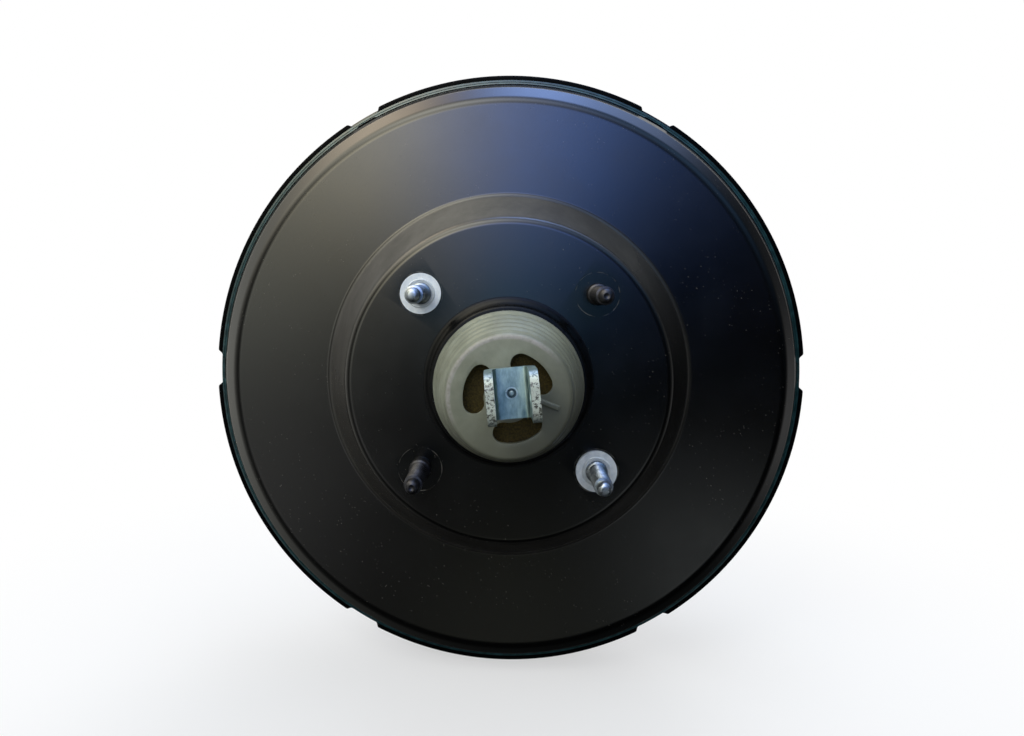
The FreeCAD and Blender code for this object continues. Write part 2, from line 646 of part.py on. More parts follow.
def make_stud_plates():
    """Flat rings that stiffen both shells under the studs' heads."""
    rear = tube(
        "rear_stud_plate",
        neck_inner + d.seat_gap,
        d.stud_plate_radius,
        plateau_inner,
        stud_plate_front,
    )
    drill(rear, "XZ_Plane", stud_place, stud_place, d.collar_radius + d.stud_hole_gap, 4)
    front = tube(
        "front_stud_plate",
        pilot_outer + d.running_gap,
        d.front_plate_radius,
        front_plate_rear,
        pad_inner,
    )
    drill(front, "XZ_Plane", d.cylinder_stud_spacing / 2, 0, d.collar_radius + d.stud_hole_gap, 2)


def stud_outline(tip, collar_end, head, away):
    """Half outline of a stud; away is +1 where its head lies towards +Y."""
    inwards = d.stud_head_height * away
    step = d.stud_tip_length * away
    return [
        (Size(0, "0"), tip),
        (d.stud_tip_radius, tip),
        (d.stud_tip_radius, tip + step),
        (d.stud_radius, tip + step + (d.stud_radius - d.stud_tip_radius) * away),
        (d.stud_radius, collar_end),
        (d.collar_radius, collar_end),
        (d.collar_radius, head),
        (d.stud_head_radius, head),
        (d.stud_head_radius, head + inwards),
        (Size(0, "0"), head + inwards),
    ]


def round_tip(body, tip):
    """Rounds the pilot point of a stud."""
    base = body.Tip
    for number, edge in enumerate(base.Shape.Edges, 1):
        if hasattr(edge.Curve, "Radius") and abs(edge.Curve.Radius - d.stud_tip_radius.number) < 1e-4:
            if abs(edge.Curve.Center.y - plain(tip)) < 1e-4:
                add_fillet(body, base, [f"Edge{number}"], d.stud_tip_round)
                return
    raise RuntimeError(f"{body.Label}: no tip edge found")


def make_stud_pair(label, x, z, tip, collar_end, head, away):
    """Two like studs half a turn apart about the Y axis."""
    body = new_body(label)
    sketch = new_sketch(body, "XY_Plane", (x, None, z))
    doc.recompute()
    draw_outline(sketch, stud_outline(tip, collar_end, head, away))
    revolve(body, sketch)
    round_tip(body, tip)
    pair = body.newObject("PartDesign::PolarPattern", f"{label}_pair")
    pair.TransformMode = "Whole shape"
    pair.Axis = (origin_part(body, "Y_Axis"), [""])
    pair.Angle = 360
    pair.Occurrences = 2
    body.Tip = pair
    doc.recompute()


def make_washers():
    """Dished push-on washers on one diagonal pair of mounting studs."""
    body = new_body("stud_washers")
    sketch = new_sketch(body, "XY_Plane", (-stud_place, None, stud_place))
    doc.recompute()
    bottom = d.seat_depth
    top = d.seat_depth - d.washer_height
    bore = d.collar_radius + d.running_gap
    draw_outline(
        sketch,
        [
            (bore, top + d.washer_dish),
            (bore + d.washer_rim, top),
            (d.washer_radius - d.washer_rim * 2, top + d.washer_dish),
            (d.washer_radius - d.washer_rim, top + d.washer_dish),
            (d.washer_radius, top + d.washer_dish),
            (d.washer_radius, bottom),
            (bore, bottom),
        ],
    )
    turn = revolve(body, sketch)
    around(body, turn, 2)


def make_check_valve():
    """Grommet, check valve cup and cap with the hose nozzle, disc and spring, beside the pad."""
    place = Placement(Vector(0, 0, 0), Rotation(Vector(0, 1, 0), -d.port_angle.number))
    face = d.dome_face
    inner = end_wall_inner
    stem_end = inner - d.valve_stem_reach
    floor = face + d.grommet_flange_height + d.seat_gap
    cup_top = floor + d.valve_cup_height
    cap_top = cup_top + d.valve_cap_height
    made = []

    def valve_piece(label, points):
        body = new_body(label)
        sketch = new_sketch(body, "XY_Plane", (d.port_radius, None, None))
        doc.recompute()
        draw_outline(sketch, points)
        revolve(body, sketch)
        made.append(body)
        return body

    neck = d.port_hole_radius - d.seat_gap
    bore = d.valve_stem_radius + d.seat_gap
    valve_piece(
        "check_valve_grommet",
        [
            (bore, inner - d.grommet_reach),
            (neck, inner - d.grommet_reach),
            (d.grommet_lip_radius, inner - d.seat_gap),
            (neck, inner - d.seat_gap),
            (neck, face + d.seat_gap),
            (d.grommet_flange_radius, face + d.seat_gap),
            (d.grommet_flange_radius, face + d.grommet_flange_height),
            (bore, face + d.grommet_flange_height),
        ],
    )
    cup_inner = d.valve_cup_radius - d.valve_wall
    valve_piece(
        "check_valve_cup",
        [
            (d.valve_stem_bore, stem_end),
            (d.valve_stem_radius, stem_end),
            (d.valve_stem_radius, floor),
            (d.valve_cup_radius, floor),
            (d.valve_cup_radius, cup_top),
            (cup_inner, cup_top),
            (cup_inner, floor + d.valve_wall),
            (d.valve_stem_bore, floor + d.valve_wall),
        ],
    )
    cap = valve_piece(
        "check_valve_cap",
        [
            (Size(0, "0"), cap_top - d.valve_wall),
            (cup_inner, cap_top - d.valve_wall),
            (cup_inner, cup_top + d.seat_gap),
            (d.valve_cup_radius, cup_top + d.seat_gap),
            (d.valve_cup_radius, cap_top),
            (Size(0, "0"), cap_top),
        ],
    )
    nozzle_y = cap_top - d.nozzle_radius
    nozzle = new_sketch(cap, "XY_Plane", (d.port_radius, nozzle_y, None))
    doc.recompute()
    groove = d.nozzle_radius - d.nozzle_groove
    bead = d.nozzle_length - d.nozzle_bead
    root = d.nozzle_radius - d.nozzle_root_step
    root_end = d.valve_cup_radius + d.nozzle_root_reach
    outline = [
        (cup_inner, Size(0, "0")),
        (d.nozzle_length, Size(0, "0")),
        (d.nozzle_length, groove - d.nozzle_groove),
        (bead + d.nozzle_bead / 2, d.nozzle_radius),
        (bead, d.nozzle_radius),
        (bead, groove),
        (bead - d.nozzle_groove_width, groove),
        (bead - d.nozzle_groove_width, d.nozzle_radius),
        (root_end, d.nozzle_radius),
        (root_end, root),
        (cup_inner, root),
    ]
    draw_outline(nozzle, outline)
    turn = cap.newObject("PartDesign::Revolution", "check_valve_nozzle_turn")
    turn.Profile = nozzle
    turn.ReferenceAxis = (nozzle, ["H_Axis"])
    turn.Angle = 360
    cap.Tip = turn
    doc.recompute()
    bore_sketch = new_sketch(cap, "XY_Plane", (d.port_radius, nozzle_y, None))
    doc.recompute()
    draw_outline(
        bore_sketch,
        [
            (cup_inner - CUT_REACH, Size(0, "0")),
            (d.nozzle_length + CUT_REACH, Size(0, "0")),
            (d.nozzle_length + CUT_REACH, d.nozzle_bore),
            (cup_inner - CUT_REACH, d.nozzle_bore),
        ],
    )
    before = cap.Shape.Volume
    bored = cap.newObject("PartDesign::Groove", "check_valve_nozzle_bore")
    bored.Profile = bore_sketch
    bored.ReferenceAxis = (bore_sketch, ["H_Axis"])
    bored.Angle = 360
    cap.Tip = bored
    doc.recompute()
    if cap.Shape.Volume >= before:
        raise RuntimeError("the nozzle's bore removed nothing")
    disc_rear = floor + d.valve_wall + d.key_gap
    valve_piece(
        "check_valve_disc",
        [
            (Size(0, "0"), disc_rear),
            (d.disc_radius, disc_rear),
            (d.disc_radius, disc_rear + d.disc_thickness),
            (Size(0, "0"), disc_rear + d.disc_thickness),
        ],
    )
    spring_rear = disc_rear + d.disc_thickness + d.disc_spring_wire + d.seat_gap
    spring_front = cap_top - d.valve_wall - d.disc_spring_wire - d.seat_gap
    for body in made:
        body.Placement = place
    coil_rear = d.disc_radius - d.disc_spring_inset
    coil(
        "check_valve_spring",
        place.multiply(Placement(Vector(d.port_radius.number, 0, 0), Rotation())),
        (coil_rear, coil_rear - d.disc_spring_taper),
        (spring_rear, spring_front),
        d.disc_spring_turns,
        d.disc_spring_wire,
        4,
    )


def make_valve_body():
    """Moulded valve body of the power piston, with its bores, vacuum seat, passages and key slot."""
    seat_inner = d.seat_ring_radius - d.seat_ring_width
    seat_rear = d.poppet_floor - d.seat_ring_height
    body = turned(
        "valve_body",
        [
            (d.filter_bore, d.tail_end),
            (d.tail_radius, d.tail_end),
            (d.tail_radius, d.hub_flange_rear),
            (d.hub_flange_radius, d.hub_flange_rear),
            (d.hub_flange_radius, hub_flange_front),
            (d.hub_radius, hub_flange_front),
            (d.hub_radius, d.hub_front),
            (d.disc_pocket_radius, d.hub_front),
            (d.disc_pocket_radius, d.disc_pocket),
            (d.plunger_bore, d.disc_pocket),
            (d.plunger_bore, d.poppet_floor),
            (seat_inner, d.poppet_floor),
            (seat_inner, seat_rear),
            (d.seat_ring_radius, seat_rear),
            (d.seat_ring_radius, d.poppet_floor),
            (d.poppet_bore, d.poppet_floor),
            (d.poppet_bore, d.filter_floor),
            (d.filter_bore, d.filter_floor),
        ],
    )
    sketch = new_sketch(body, "XZ_Plane", (None, None, -d.poppet_floor))
    doc.recompute()
    across = d.vacuum_hole_circle * cosine(d.vacuum_hole_angle)
    up = d.vacuum_hole_circle * sine(d.vacuum_hole_angle)
    draw_circle(sketch, across, up, d.vacuum_hole_radius)
    draw_circle(sketch, across, -up, d.vacuum_hole_radius)
    passages = extrude(body, sketch, d.hub_front, "PartDesign::Pocket")
    around(body, passages, 2)
    slot = new_sketch(body, "XY_Plane")
    half = d.key_width / 2 + d.key_gap
    rear = d.key_rear - d.key_gap
    front = d.key_rear + d.key_thickness + d.key_gap
    draw_outline(slot, [(-half, rear), (half, rear), (half, front), (-half, front)])
    cut = extrude(body, slot, d.key_leg + d.key_gap, "PartDesign::Pocket", "Two sides")
    cut.setExpression("Length2", (d.tail_radius + CUT_REACH).formula)
    doc.recompute()


def make_rear_seal():
    """Lip seal and guide ring in the neck; the key rests on the guide ring's sleeve."""
    bore = d.tail_radius + d.running_gap
    outside = neck_inner - d.running_gap
    front = plateau_inner - d.seal_groove / 2
    rear = front - d.seal_height
    turned(
        "rear_seal",
        [
            (bore, front),
            (outside, front),
            (outside, rear),
            (outside - d.seal_groove, rear),
            (outside - d.seal_groove * 1.4, rear + d.seal_groove),
            (bore + d.seal_groove * 1.4, rear + d.seal_groove),
            (bore + d.seal_groove * 0.8, rear),
            (bore, rear),
        ],
    )
    guide_rear = front + d.seat_gap
    turned(
        "rear_bearing",
        [
            (bore, guide_rear),
            (outside, guide_rear),
            (outside, d.bearing_front),
            (d.bearing_sleeve_radius, d.bearing_front),
            (d.bearing_sleeve_radius, d.key_rear - d.key_gap),
            (bore, d.key_rear - d.key_gap),
        ],
    )


def make_diaphragm():
    """Rubber diaphragm with its two beads, and the pressed plate that backs it."""
    inner = d.hub_radius + d.seat_gap
    bead_inner_end = hub_flange_front + d.seat_gap
    bead_top = bead_inner_end + d.inner_bead_height
    membrane_front = d.membrane_rear + d.membrane
    plate_rear = membrane_front + d.seat_gap
    plate_front = plate_rear + d.plate_sheet
    curl_top = plate_rear + d.plate_curl
    fold_inner = d.plate_radius + d.seat_gap
    fold_outer = fold_inner + d.membrane
    lip = skirt_inner - 4
    seat_rear = bead_top + d.seat_gap
    turned(
        "diaphragm",
        [
            (inner, bead_inner_end),
            (inner + d.inner_bead_width, bead_inner_end),
            (inner + d.inner_bead_width, d.membrane_rear),
            (fold_outer, d.membrane_rear),
            (fold_outer, curl_top + d.fold_rise / 2),
            (d.fold_radius - 3, curl_top + d.fold_rise * 1.6),
            (d.fold_radius + 1, curl_top + d.fold_rise * 1.6),
            (lip, bead_rear),
            (skirt_inner - d.seat_gap, bead_rear),
            (skirt_inner - d.seat_gap, bead_front),
            (lip + d.seat_gap, bead_front),
            (d.fold_radius + 2, curl_top + d.fold_rise * 1.6 + d.membrane),
            (d.fold_radius - 4, curl_top + d.fold_rise * 1.6 + d.membrane),
            (fold_inner, curl_top + d.fold_rise),
            (fold_inner, membrane_front),
            (inner + d.inner_bead_width, membrane_front),
            (inner + d.inner_bead_width, bead_top),
            (inner, bead_top),
        ],
    )
    step = d.plate_step_radius
    turned(
        "diaphragm_plate",
        [
            (inner, seat_rear),
            (step, seat_rear),
            (step + d.plate_sheet, plate_rear),
            (d.plate_radius, plate_rear),
            (d.plate_radius, curl_top),
            (d.plate_radius - d.plate_sheet, curl_top),
            (d.plate_radius - d.plate_sheet, plate_front),
            (step + d.plate_sheet * 1.5, plate_front),
            (step + d.plate_sheet * 0.5, seat_rear + d.plate_sheet),
            (inner, seat_rear + d.plate_sheet),
        ],
    )
    wire = d.return_spring_wire
    coil(
        "return_spring",
        Placement(),
        (d.hub_radius + d.spring_hub_gap, pilot_outer + d.spring_pilot_gap),
        (seat_rear + d.plate_sheet + wire + d.seat_gap, front_plate_rear - wire - d.seat_gap),
        d.return_spring_turns,
        wire,
        6,
    )


def make_output_rod():
    """Reaction disc, output rod with its short tip, and the clip that holds it in the hub."""
    disc_rear = d.disc_pocket + d.seat_gap
    disc_front = disc_rear + d.reaction_disc_height
    tube("reaction_disc", Size(0, "0"), d.reaction_disc_radius, disc_rear, disc_front)
    head_rear = disc_front + d.seat_gap
    head_front = head_rear + d.output_head_height
    shoulder = d.output_tip - d.output_tip_length
    body = turned(
        "output_rod",
        [
            (Size(0, "0"), head_rear),
            (d.reaction_disc_radius - d.seat_gap, head_rear),
            (d.reaction_disc_radius - d.seat_gap, head_front),
            (d.output_rod_radius, head_front),
            (d.output_rod_radius, shoulder),
            (d.output_tip_radius, shoulder),
            (d.output_tip_radius, d.output_tip),
            (Size(0, "0"), d.output_tip),
        ],
    )
    round_corners(body, d.output_tip_length / 2, [(d.output_tip_radius, d.output_tip)])
    clip_rear = head_front + d.seat_gap
    tube(
        "output_rod_clip",
        d.output_rod_radius + d.key_gap,
        d.disc_pocket_radius - d.running_gap,
        clip_rear,
        clip_rear + d.rod_clip_thickness,
    )


def make_front_seal():
    """Rubber seal round the output rod under the pilot bore, and the cup that carries it."""
    bore = d.output_rod_radius + d.running_gap
    seat = pilot_floor - d.shell_sheet - d.seat_gap
    turned(
        "front_seal",
        [
            (bore, seat - d.front_seal_height),
            (d.front_seal_radius, seat - d.front_seal_height),
            (d.front_seal_radius, seat),
            (d.rod_hole_radius - d.seat_gap, seat),
            (d.rod_hole_radius - d.seat_gap, pilot_floor - d.seat_gap),
            (bore, pilot_floor - d.seat_gap),
        ],
    )
    cup_inner = pilot_outer + d.running_gap
    floor = seat - d.front_seal_height - d.seat_gap
    turned(
        "front_seal_cup",
        [
            (d.output_rod_radius + d.seal_cup_gap, floor - d.seal_cup_sheet),
            (cup_inner + d.seal_cup_sheet, floor - d.seal_cup_sheet),
            (cup_inner + d.seal_cup_sheet, floor - d.seal_cup_sheet + d.seal_cup_length),
            (cup_inner, floor - d.seal_cup_sheet + d.seal_cup_length),
            (cup_inner, floor),
            (d.output_rod_radius + d.seal_cup_gap, floor),
        ],
    )


def make_plunger():
    """Control valve plunger with its air seat and ball socket, and the forked stop key."""
    stem = d.plunger_bore - d.running_gap
    key_front = d.key_rear + d.key_thickness
    groove_rear = d.key_rear - d.plunger_travel - d.key_gap
    nose = d.disc_pocket - d.plunger_travel - d.key_gap
    body = turned(
        "plunger",
        [
            (Size(0, "0"), d.plunger_rear),
            (d.plunger_flange_radius, d.plunger_rear),
            (d.plunger_flange_radius, d.plunger_rear + d.plunger_flange_height),
            (stem, d.plunger_rear + d.plunger_flange_height),
            (stem, groove_rear),
            (d.plunger_groove_radius, groove_rear),
            (d.plunger_groove_radius, key_front + d.key_gap),
            (stem, key_front + d.key_gap),
            (stem, nose - d.plunger_nose_length),
            (d.plunger_nose_radius, nose - d.plunger_nose_length),
            (d.plunger_nose_radius, nose),
            (Size(0, "0"), nose),
        ],
    )
    socket = body.newObject("PartDesign::SubtractiveSphere", "plunger_socket")
    socket.setExpression("Radius", (d.ball_radius + d.ball_gap).formula)
    socket.setExpression("Placement.Base.y", d.ball_centre.formula)
    body.Tip = socket
    doc.recompute()
    mouth = new_sketch(body, "XZ_Plane", (None, None, -d.ball_centre))
    doc.recompute()
    draw_circle(mouth, 0, 0, d.socket_mouth)
    extrude(body, mouth, d.ball_centre, "PartDesign::Pocket", reverse=True)
    key = new_body("stop_key")
    sketch = new_sketch(key, "XZ_Plane", (None, None, -d.key_rear - d.key_thickness))
    doc.recompute()
    half = d.key_width / 2
    groove = d.plunger_groove_radius + d.key_gap / 2
    draw_outline(
        sketch,
        [
            (-half, -d.key_leg),
            (-groove, -d.key_leg),
            (-groove, groove),
            (groove, groove),
            (groove, -d.key_leg),
            (half, -d.key_leg),
            (half, d.key_top),
            (-half, d.key_top),
        ],
    )
    extrude(key, sketch, d.key_thickness)


def make_poppet():
    """Rubber poppet valve, its retainer and spring, the felt silencer and the foam filter."""
    lip_front = d.plunger_rear - d.key_gap
    lip_rear = lip_front - d.poppet_lip_thickness
    rear = lip_front - d.poppet_length
    outside = d.poppet_bore - d.seat_gap
    bead_inner = d.retainer_bore + d.poppet_wall * 2.8
    bead_front = rear + d.poppet_bead_height
    turned(
        "poppet_valve",
        [
            (bead_inner, rear),
            (outside, rear),
            (outside, bead_front),
            (bead_inner + d.poppet_wall, bead_front),
            (d.poppet_inner_radius + d.poppet_wall * 2, lip_rear - 4),
            (d.poppet_inner_radius + d.poppet_wall * 2, lip_rear),
            (d.poppet_lip_radius, lip_rear),
            (d.poppet_lip_radius, lip_front),
            (d.poppet_inner_radius, lip_front),
            (d.poppet_inner_radius, lip_rear),
            (d.poppet_inner_radius + d.poppet_wall, lip_rear),
            (d.poppet_inner_radius + d.poppet_wall, lip_rear - 4.4),
            (bead_inner, bead_front - 0.6),
        ],
    )
    turned(
        "poppet_retainer",
        [
            (d.retainer_bore, rear - d.seat_gap - d.retainer_sheet),
            (outside - d.retainer_sheet, rear - d.seat_gap - d.retainer_sheet),
            (outside - d.retainer_sheet, d.filter_floor + d.seat_gap),
            (outside, d.filter_floor + d.seat_gap),
            (outside, rear - d.seat_gap),
            (d.retainer_bore, rear - d.seat_gap),
        ],
    )
    wire = d.poppet_spring_wire
    round_bellows = bead_inner + d.poppet_wall + d.poppet_spring_gap
    coil(
        "poppet_spring",
        Placement(),
        (round_bellows, round_bellows),
        (bead_front + wire + d.seat_gap, lip_rear - wire - d.seat_gap),
        d.poppet_spring_turns,
        wire,
        4,
    )
    tube(
        "silencer",
        d.silencer_inner_radius,
        d.filter_bore - d.seat_gap,
        d.filter_front + d.seat_gap,
        d.silencer_front,
    )
    tube(
        "air_filter",
        d.filter_inner_radius,
        d.filter_bore - d.seat_gap,
        d.tail_end + d.seat_gap,
        d.filter_front,
    )


def make_input_rod():
    """Ball-ended rod with its clevis, spring cup and spring, leaning as it does in the photo."""
    lean = Rotation(Vector(0, 0, 1), d.rod_sway.number)
    lean = lean.multiply(Rotation(Vector(1, 0, 0), -d.rod_tilt.number))
    base = Placement(Vector(0, d.ball_centre.number, 0), lean)
    neck_start = -d.ball_radius / 2
    clevis_front = -d.input_rod_length
    clevis_rear = clevis_front - d.clevis_sheet
    rod = turned(
        "input_rod",
        [
            (Size(0, "0"), clevis_rear - d.tenon_rise),
            (d.punch_radius - d.tenon_rise, clevis_rear - d.tenon_rise),
            (d.punch_radius, clevis_rear),
            (d.tenon_radius - d.tenon_rim, clevis_rear),
            (d.tenon_radius - d.tenon_rim, clevis_rear - d.tenon_rise),
            (d.tenon_radius, clevis_rear - d.tenon_rise),
            (d.tenon_radius, clevis_front),
            (d.input_rod_radius, clevis_front),
            (d.input_rod_radius, -d.input_neck_length),
            (d.input_neck_radius, d.input_rod_radius / 4 - d.input_neck_length),
            (d.input_neck_radius, neck_start),
            (Size(0, "0"), neck_start),
        ],
    )
    ball = rod.newObject("PartDesign::AdditiveSphere", "input_rod_ball")
    ball.setExpression("Radius", d.ball_radius.formula)
    rod.Tip = ball
    doc.recompute()
    rod.Placement = base
    clevis = new_body("clevis")
    half = d.clevis_width / 2
    inside = half - d.clevis_sheet
    end = clevis_front - d.clevis_length
    sketch = new_sketch(clevis, "XY_Plane")
    draw_outline(
        sketch,
        [
            (-half, end),
            (-inside, end),
            (-inside, clevis_rear),
            (inside, clevis_rear),
            (inside, end),
            (half, end),
            (half, clevis_front),
            (-half, clevis_front),
        ],
    )
    strip = extrude(clevis, sketch, d.clevis_strip, sides="Symmetric")
    outer, inner, ears = [], [], []
    for number, edge in enumerate(strip.Shape.Edges, 1):
        middle = edge.CenterOfMass
        along_z = abs(edge.tangentAt(0).z) > 0.9
        if along_z and abs(middle.y - plain(clevis_front)) < 1e-4:
            outer.append(f"Edge{number}")
        if along_z and abs(middle.y - plain(clevis_rear)) < 1e-4:
            inner.append(f"Edge{number}")
    add_fillet(clevis, strip, outer, d.clevis_bend + d.clevis_sheet)
    bent = clevis.Tip
    for number, edge in enumerate(bent.Shape.Edges, 1):
        middle = edge.CenterOfMass
        along_z = abs(edge.tangentAt(edge.FirstParameter).z) > 0.9
        if along_z and abs(middle.y - plain(clevis_rear)) < 1e-4 and abs(middle.x) < plain(inside) + 1e-4:
            ears.append(f"Edge{number}")
    add_fillet(clevis, bent, ears, d.clevis_bend)
    base_feature = clevis.Tip
    corners = []
    for number, edge in enumerate(base_feature.Shape.Edges, 1):
        along_x = abs(edge.tangentAt(edge.FirstParameter).x) > 0.9
        if along_x and abs(edge.CenterOfMass.y - plain(end)) < 1e-4:
            corners.append(f"Edge{number}")
    add_fillet(clevis, base_feature, corners, d.clevis_ear_round)
    hole = new_sketch(clevis, "YZ_Plane")
    draw_circle(hole, end + d.pin_from_end, 0, d.pin_radius)
    extrude(clevis, hole, None, "PartDesign::Pocket")
    tenon = new_sketch(clevis, "XZ_Plane")
    draw_circle(tenon, 0, 0, d.tenon_radius + d.running_gap)
    extrude(clevis, tenon, None, "PartDesign::Pocket")
    clevis.Placement = base.multiply(
        Placement(Vector(0, 0, 0), Rotation(Vector(0, 1, 0), -d.clevis_roll.number))
    )
    cup_front = -d.spring_cup_place
    cup_skirt = d.input_spring_radius + d.input_spring_wire + d.key_gap
    cup = turned(
        "spring_cup",
        [
            (d.input_rod_radius + d.running_gap, cup_front - d.spring_cup_sheet),
            (d.spring_cup_radius, cup_front - d.spring_cup_sheet),
            (d.spring_cup_radius, cup_front + d.spring_cup_sheet * 2),
            (cup_skirt, cup_front + d.spring_cup_sheet * 2),
            (cup_skirt, cup_front),
            (d.input_rod_radius + d.running_gap, cup_front),
        ],
    )
    cup.Placement = base
    retainer_rear = d.plunger_rear - d.key_gap - d.poppet_length - d.seat_gap - d.retainer_sheet
    wire = d.input_spring_wire
    coil(
        "input_return_spring",
        base,
        (d.input_spring_radius, d.input_spring_radius),
        (cup_front + wire + d.seat_gap, retainer_rear - d.ball_centre - wire - d.key_gap * 2),
        d.input_spring_turns,
        wire,
        4,
    )


def make_boot():
    """Rubber dust boot: lip in the neck, base bead, ringed side, and end with slots and bar."""
    groove = d.neck_lip_bore - d.boot_groove_gap
    lip_rear = d.shell_sheet - d.neck_reach + d.boot_groove_gap
    lip_front = lip_rear + d.boot_lip_height
    base_front = -d.neck_reach - d.boot_groove_gap
    base_rear = base_front - d.boot_base_height
    side_front = base_rear - 0.8
    taper = d.boot_side_radius - d.boot_end_radius
    length = side_front - d.boot_end
    points = [
        (groove - d.boot_wall, lip_front),
        (d.boot_lip_radius, lip_front),
        (d.boot_lip_radius, lip_rear),
        (groove, lip_rear),
        (groove, base_front),
        (d.boot_base_radius, base_front),
        (d.boot_base_radius, base_rear),
        (d.boot_side_radius, side_front),
    ]
    for i in range(4):
        middle = 0.16 + 0.19 * i
        for shift, rise in ((-0.5, 0), (-0.22, 1), (0.22, 1), (0.5, 0)):
            down = length * middle + d.boot_rib_width * shift
            share = middle + plain(d.boot_rib_width) * shift / plain(length)
            points.append((d.boot_side_radius - taper * share + d.boot_rib_height * rise, side_front - down))
    inner_end = d.boot_end + d.boot_end_wall
    points += [
        (d.boot_end_radius, d.boot_end),
        (d.boot_hole_radius, d.boot_end),
        (d.boot_hole_radius, inner_end),
        (d.boot_end_radius - d.boot_wall, inner_end),
        (d.boot_side_radius - d.boot_wall, side_front),
        (groove - d.boot_wall, base_rear),
    ]
    body = turned("dust_boot", points)
    round_corners(body, d.boot_end_round, [(d.boot_end_radius, d.boot_end)])
    middle = (d.slot_inner_radius + d.slot_outer_radius) / 2
    cap = (d.slot_outer_radius - d.slot_inner_radius) / 2
    window = new_sketch(body, "XY_Plane")
    draw_outline(
        window,
        [
            (d.slot_inner_radius, d.boot_end - CUT_REACH),
            (d.slot_outer_radius, d.boot_end - CUT_REACH),
            (d.slot_outer_radius, inner_end + 0.2),
            (d.slot_inner_radius, inner_end + 0.2),
        ],
    )
    before = body.Shape.Volume
    slot = body.newObject("PartDesign::Groove", "dust_boot_slot")
    slot.Profile = window
    slot.ReferenceAxis = (window, ["V_Axis"])
    slot.Midplane = True
    slot.setExpression("Angle", d.slot_span.formula)
    body.Tip = slot
    doc.recompute()
    if body.Shape.Volume >= before:
        raise RuntimeError("the boot's slots removed nothing")
    ends = new_sketch(body, "XZ_Plane", (None, None, -inner_end - 0.2))
    doc.recompute()
    half_span = d.slot_span / 2
    draw_circle(ends, middle * cosine(half_span), middle * sine(half_span), cap)
    draw_circle(ends, middle * cosine(half_span), -middle * sine(half_span), cap)
    rounded = extrude(body, ends, d.boot_end_wall + 2, "PartDesign::Pocket", reverse=True)
    ring = body.newObject("PartDesign::PolarPattern", "dust_boot_slots")
    ring.Originals = [slot, rounded]
    ring.Axis = (origin_part(body, "Y_Axis"), [""])
    ring.Angle = 360
    ring.setExpression("Occurrences", d.slot_count.formula)
    body.Tip = ring
    doc.recompute()
    bar = new_sketch(body, "XZ_Plane", (None, None, -d.boot_end - 0.2))
    doc.recompute()
    place = d.rib_angle - d.slot_angle
    turn = d.rib_turn - d.slot_angle
    centre_x = d.rib_place * cosine(place)
    centre_z = d.rib_place * sine(place)
    along = d.rib_length / 2
    aside = d.rib_width / 2
    corners = []
    for a, b in ((1, 1), (-1, 1), (-1, -1), (1, -1)):
        x = centre_x + along * a * cosine(turn) - aside * b * sine(turn)
        z = centre_z + along * a * sine(turn) + aside * b * cosine(turn)
        corners.append((x, z))
    draw_outline(bar, corners)
    extrude(body, bar, d.rib_height + 0.2)
    body.setExpression("Placement.Rotation.Angle", (-d.slot_angle).formula + " * 1 deg")
    body.Placement = Placement(Vector(0, 0, 0), Rotation(Vector(0, 1, 0), -d.slot_angle.number))


make_rear_shell()
make_front_shell()
make_stud_plates()
stud_base = (-d.stud_reach, -d.collar_reach, stud_plate_front, 1)
make_stud_pair("mounting_studs_bright", -stud_place, stud_place, *stud_base)
make_stud_pair("mounting_studs_black", stud_place, stud_place, *stud_base)
cylinder_collar = d.pad_face + d.cylinder_collar_reach
cylinder_base = (d.pad_face + d.cylinder_stud_reach, cylinder_collar, front_plate_rear, -1)
make_stud_pair("master_cylinder_studs", d.cylinder_stud_spacing / 2, Size(0, "0"), *cylinder_base)
make_washers()
make_check_valve()
make_valve_body()
make_rear_seal()
make_diaphragm()
make_output_rod()
make_front_seal()
make_plunger()
make_poppet()
make_input_rod()
make_boot()
doc.recompute()

# Every object has to be sound before anything is written
for thing in doc.Objects:
    if any(word in thing.State for word in ("Invalid", "Error")):
        raise RuntimeError(f"{thing.Label} failed: {thing.State}")
for node in nodes:
    shape = node.Shape
    if shape.isNull() or not shape.isValid() or shape.Volume <= 0:
        raise RuntimeError(f"{node.Label} has no sound solid")
    shape.exportStep(f"parts/{node.Label}.step")
    print(node.Label, len(shape.Solids), round(shape.Volume, 1))
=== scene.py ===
import math
import bmesh
import bpy
from mathutils import Matrix, Vector, noise


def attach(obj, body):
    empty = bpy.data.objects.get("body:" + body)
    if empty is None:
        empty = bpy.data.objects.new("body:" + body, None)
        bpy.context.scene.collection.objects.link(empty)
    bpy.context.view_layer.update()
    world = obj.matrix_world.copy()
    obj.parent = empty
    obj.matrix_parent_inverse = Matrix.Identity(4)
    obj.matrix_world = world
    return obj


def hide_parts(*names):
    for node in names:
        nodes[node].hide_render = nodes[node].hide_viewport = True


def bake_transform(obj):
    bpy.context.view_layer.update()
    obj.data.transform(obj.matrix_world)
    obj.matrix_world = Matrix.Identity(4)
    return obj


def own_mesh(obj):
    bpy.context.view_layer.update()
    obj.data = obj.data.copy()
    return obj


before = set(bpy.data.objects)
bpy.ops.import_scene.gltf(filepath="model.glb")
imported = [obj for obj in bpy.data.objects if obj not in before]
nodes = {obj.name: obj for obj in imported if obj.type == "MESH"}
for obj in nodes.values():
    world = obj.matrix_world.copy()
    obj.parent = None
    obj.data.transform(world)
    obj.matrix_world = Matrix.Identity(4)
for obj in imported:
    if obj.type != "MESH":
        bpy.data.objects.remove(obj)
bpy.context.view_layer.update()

mm = 0.001  # sizes below are in millimetres, Blender's in metres
pistonStroke = 28.0  # the longer limit of piston_slide
slopeShare = 0.55  # how far a slope's inner corner moves per thickness of its sheet
print("frame loaded:", len(nodes), "CAD nodes")


# ---- mesh helpers

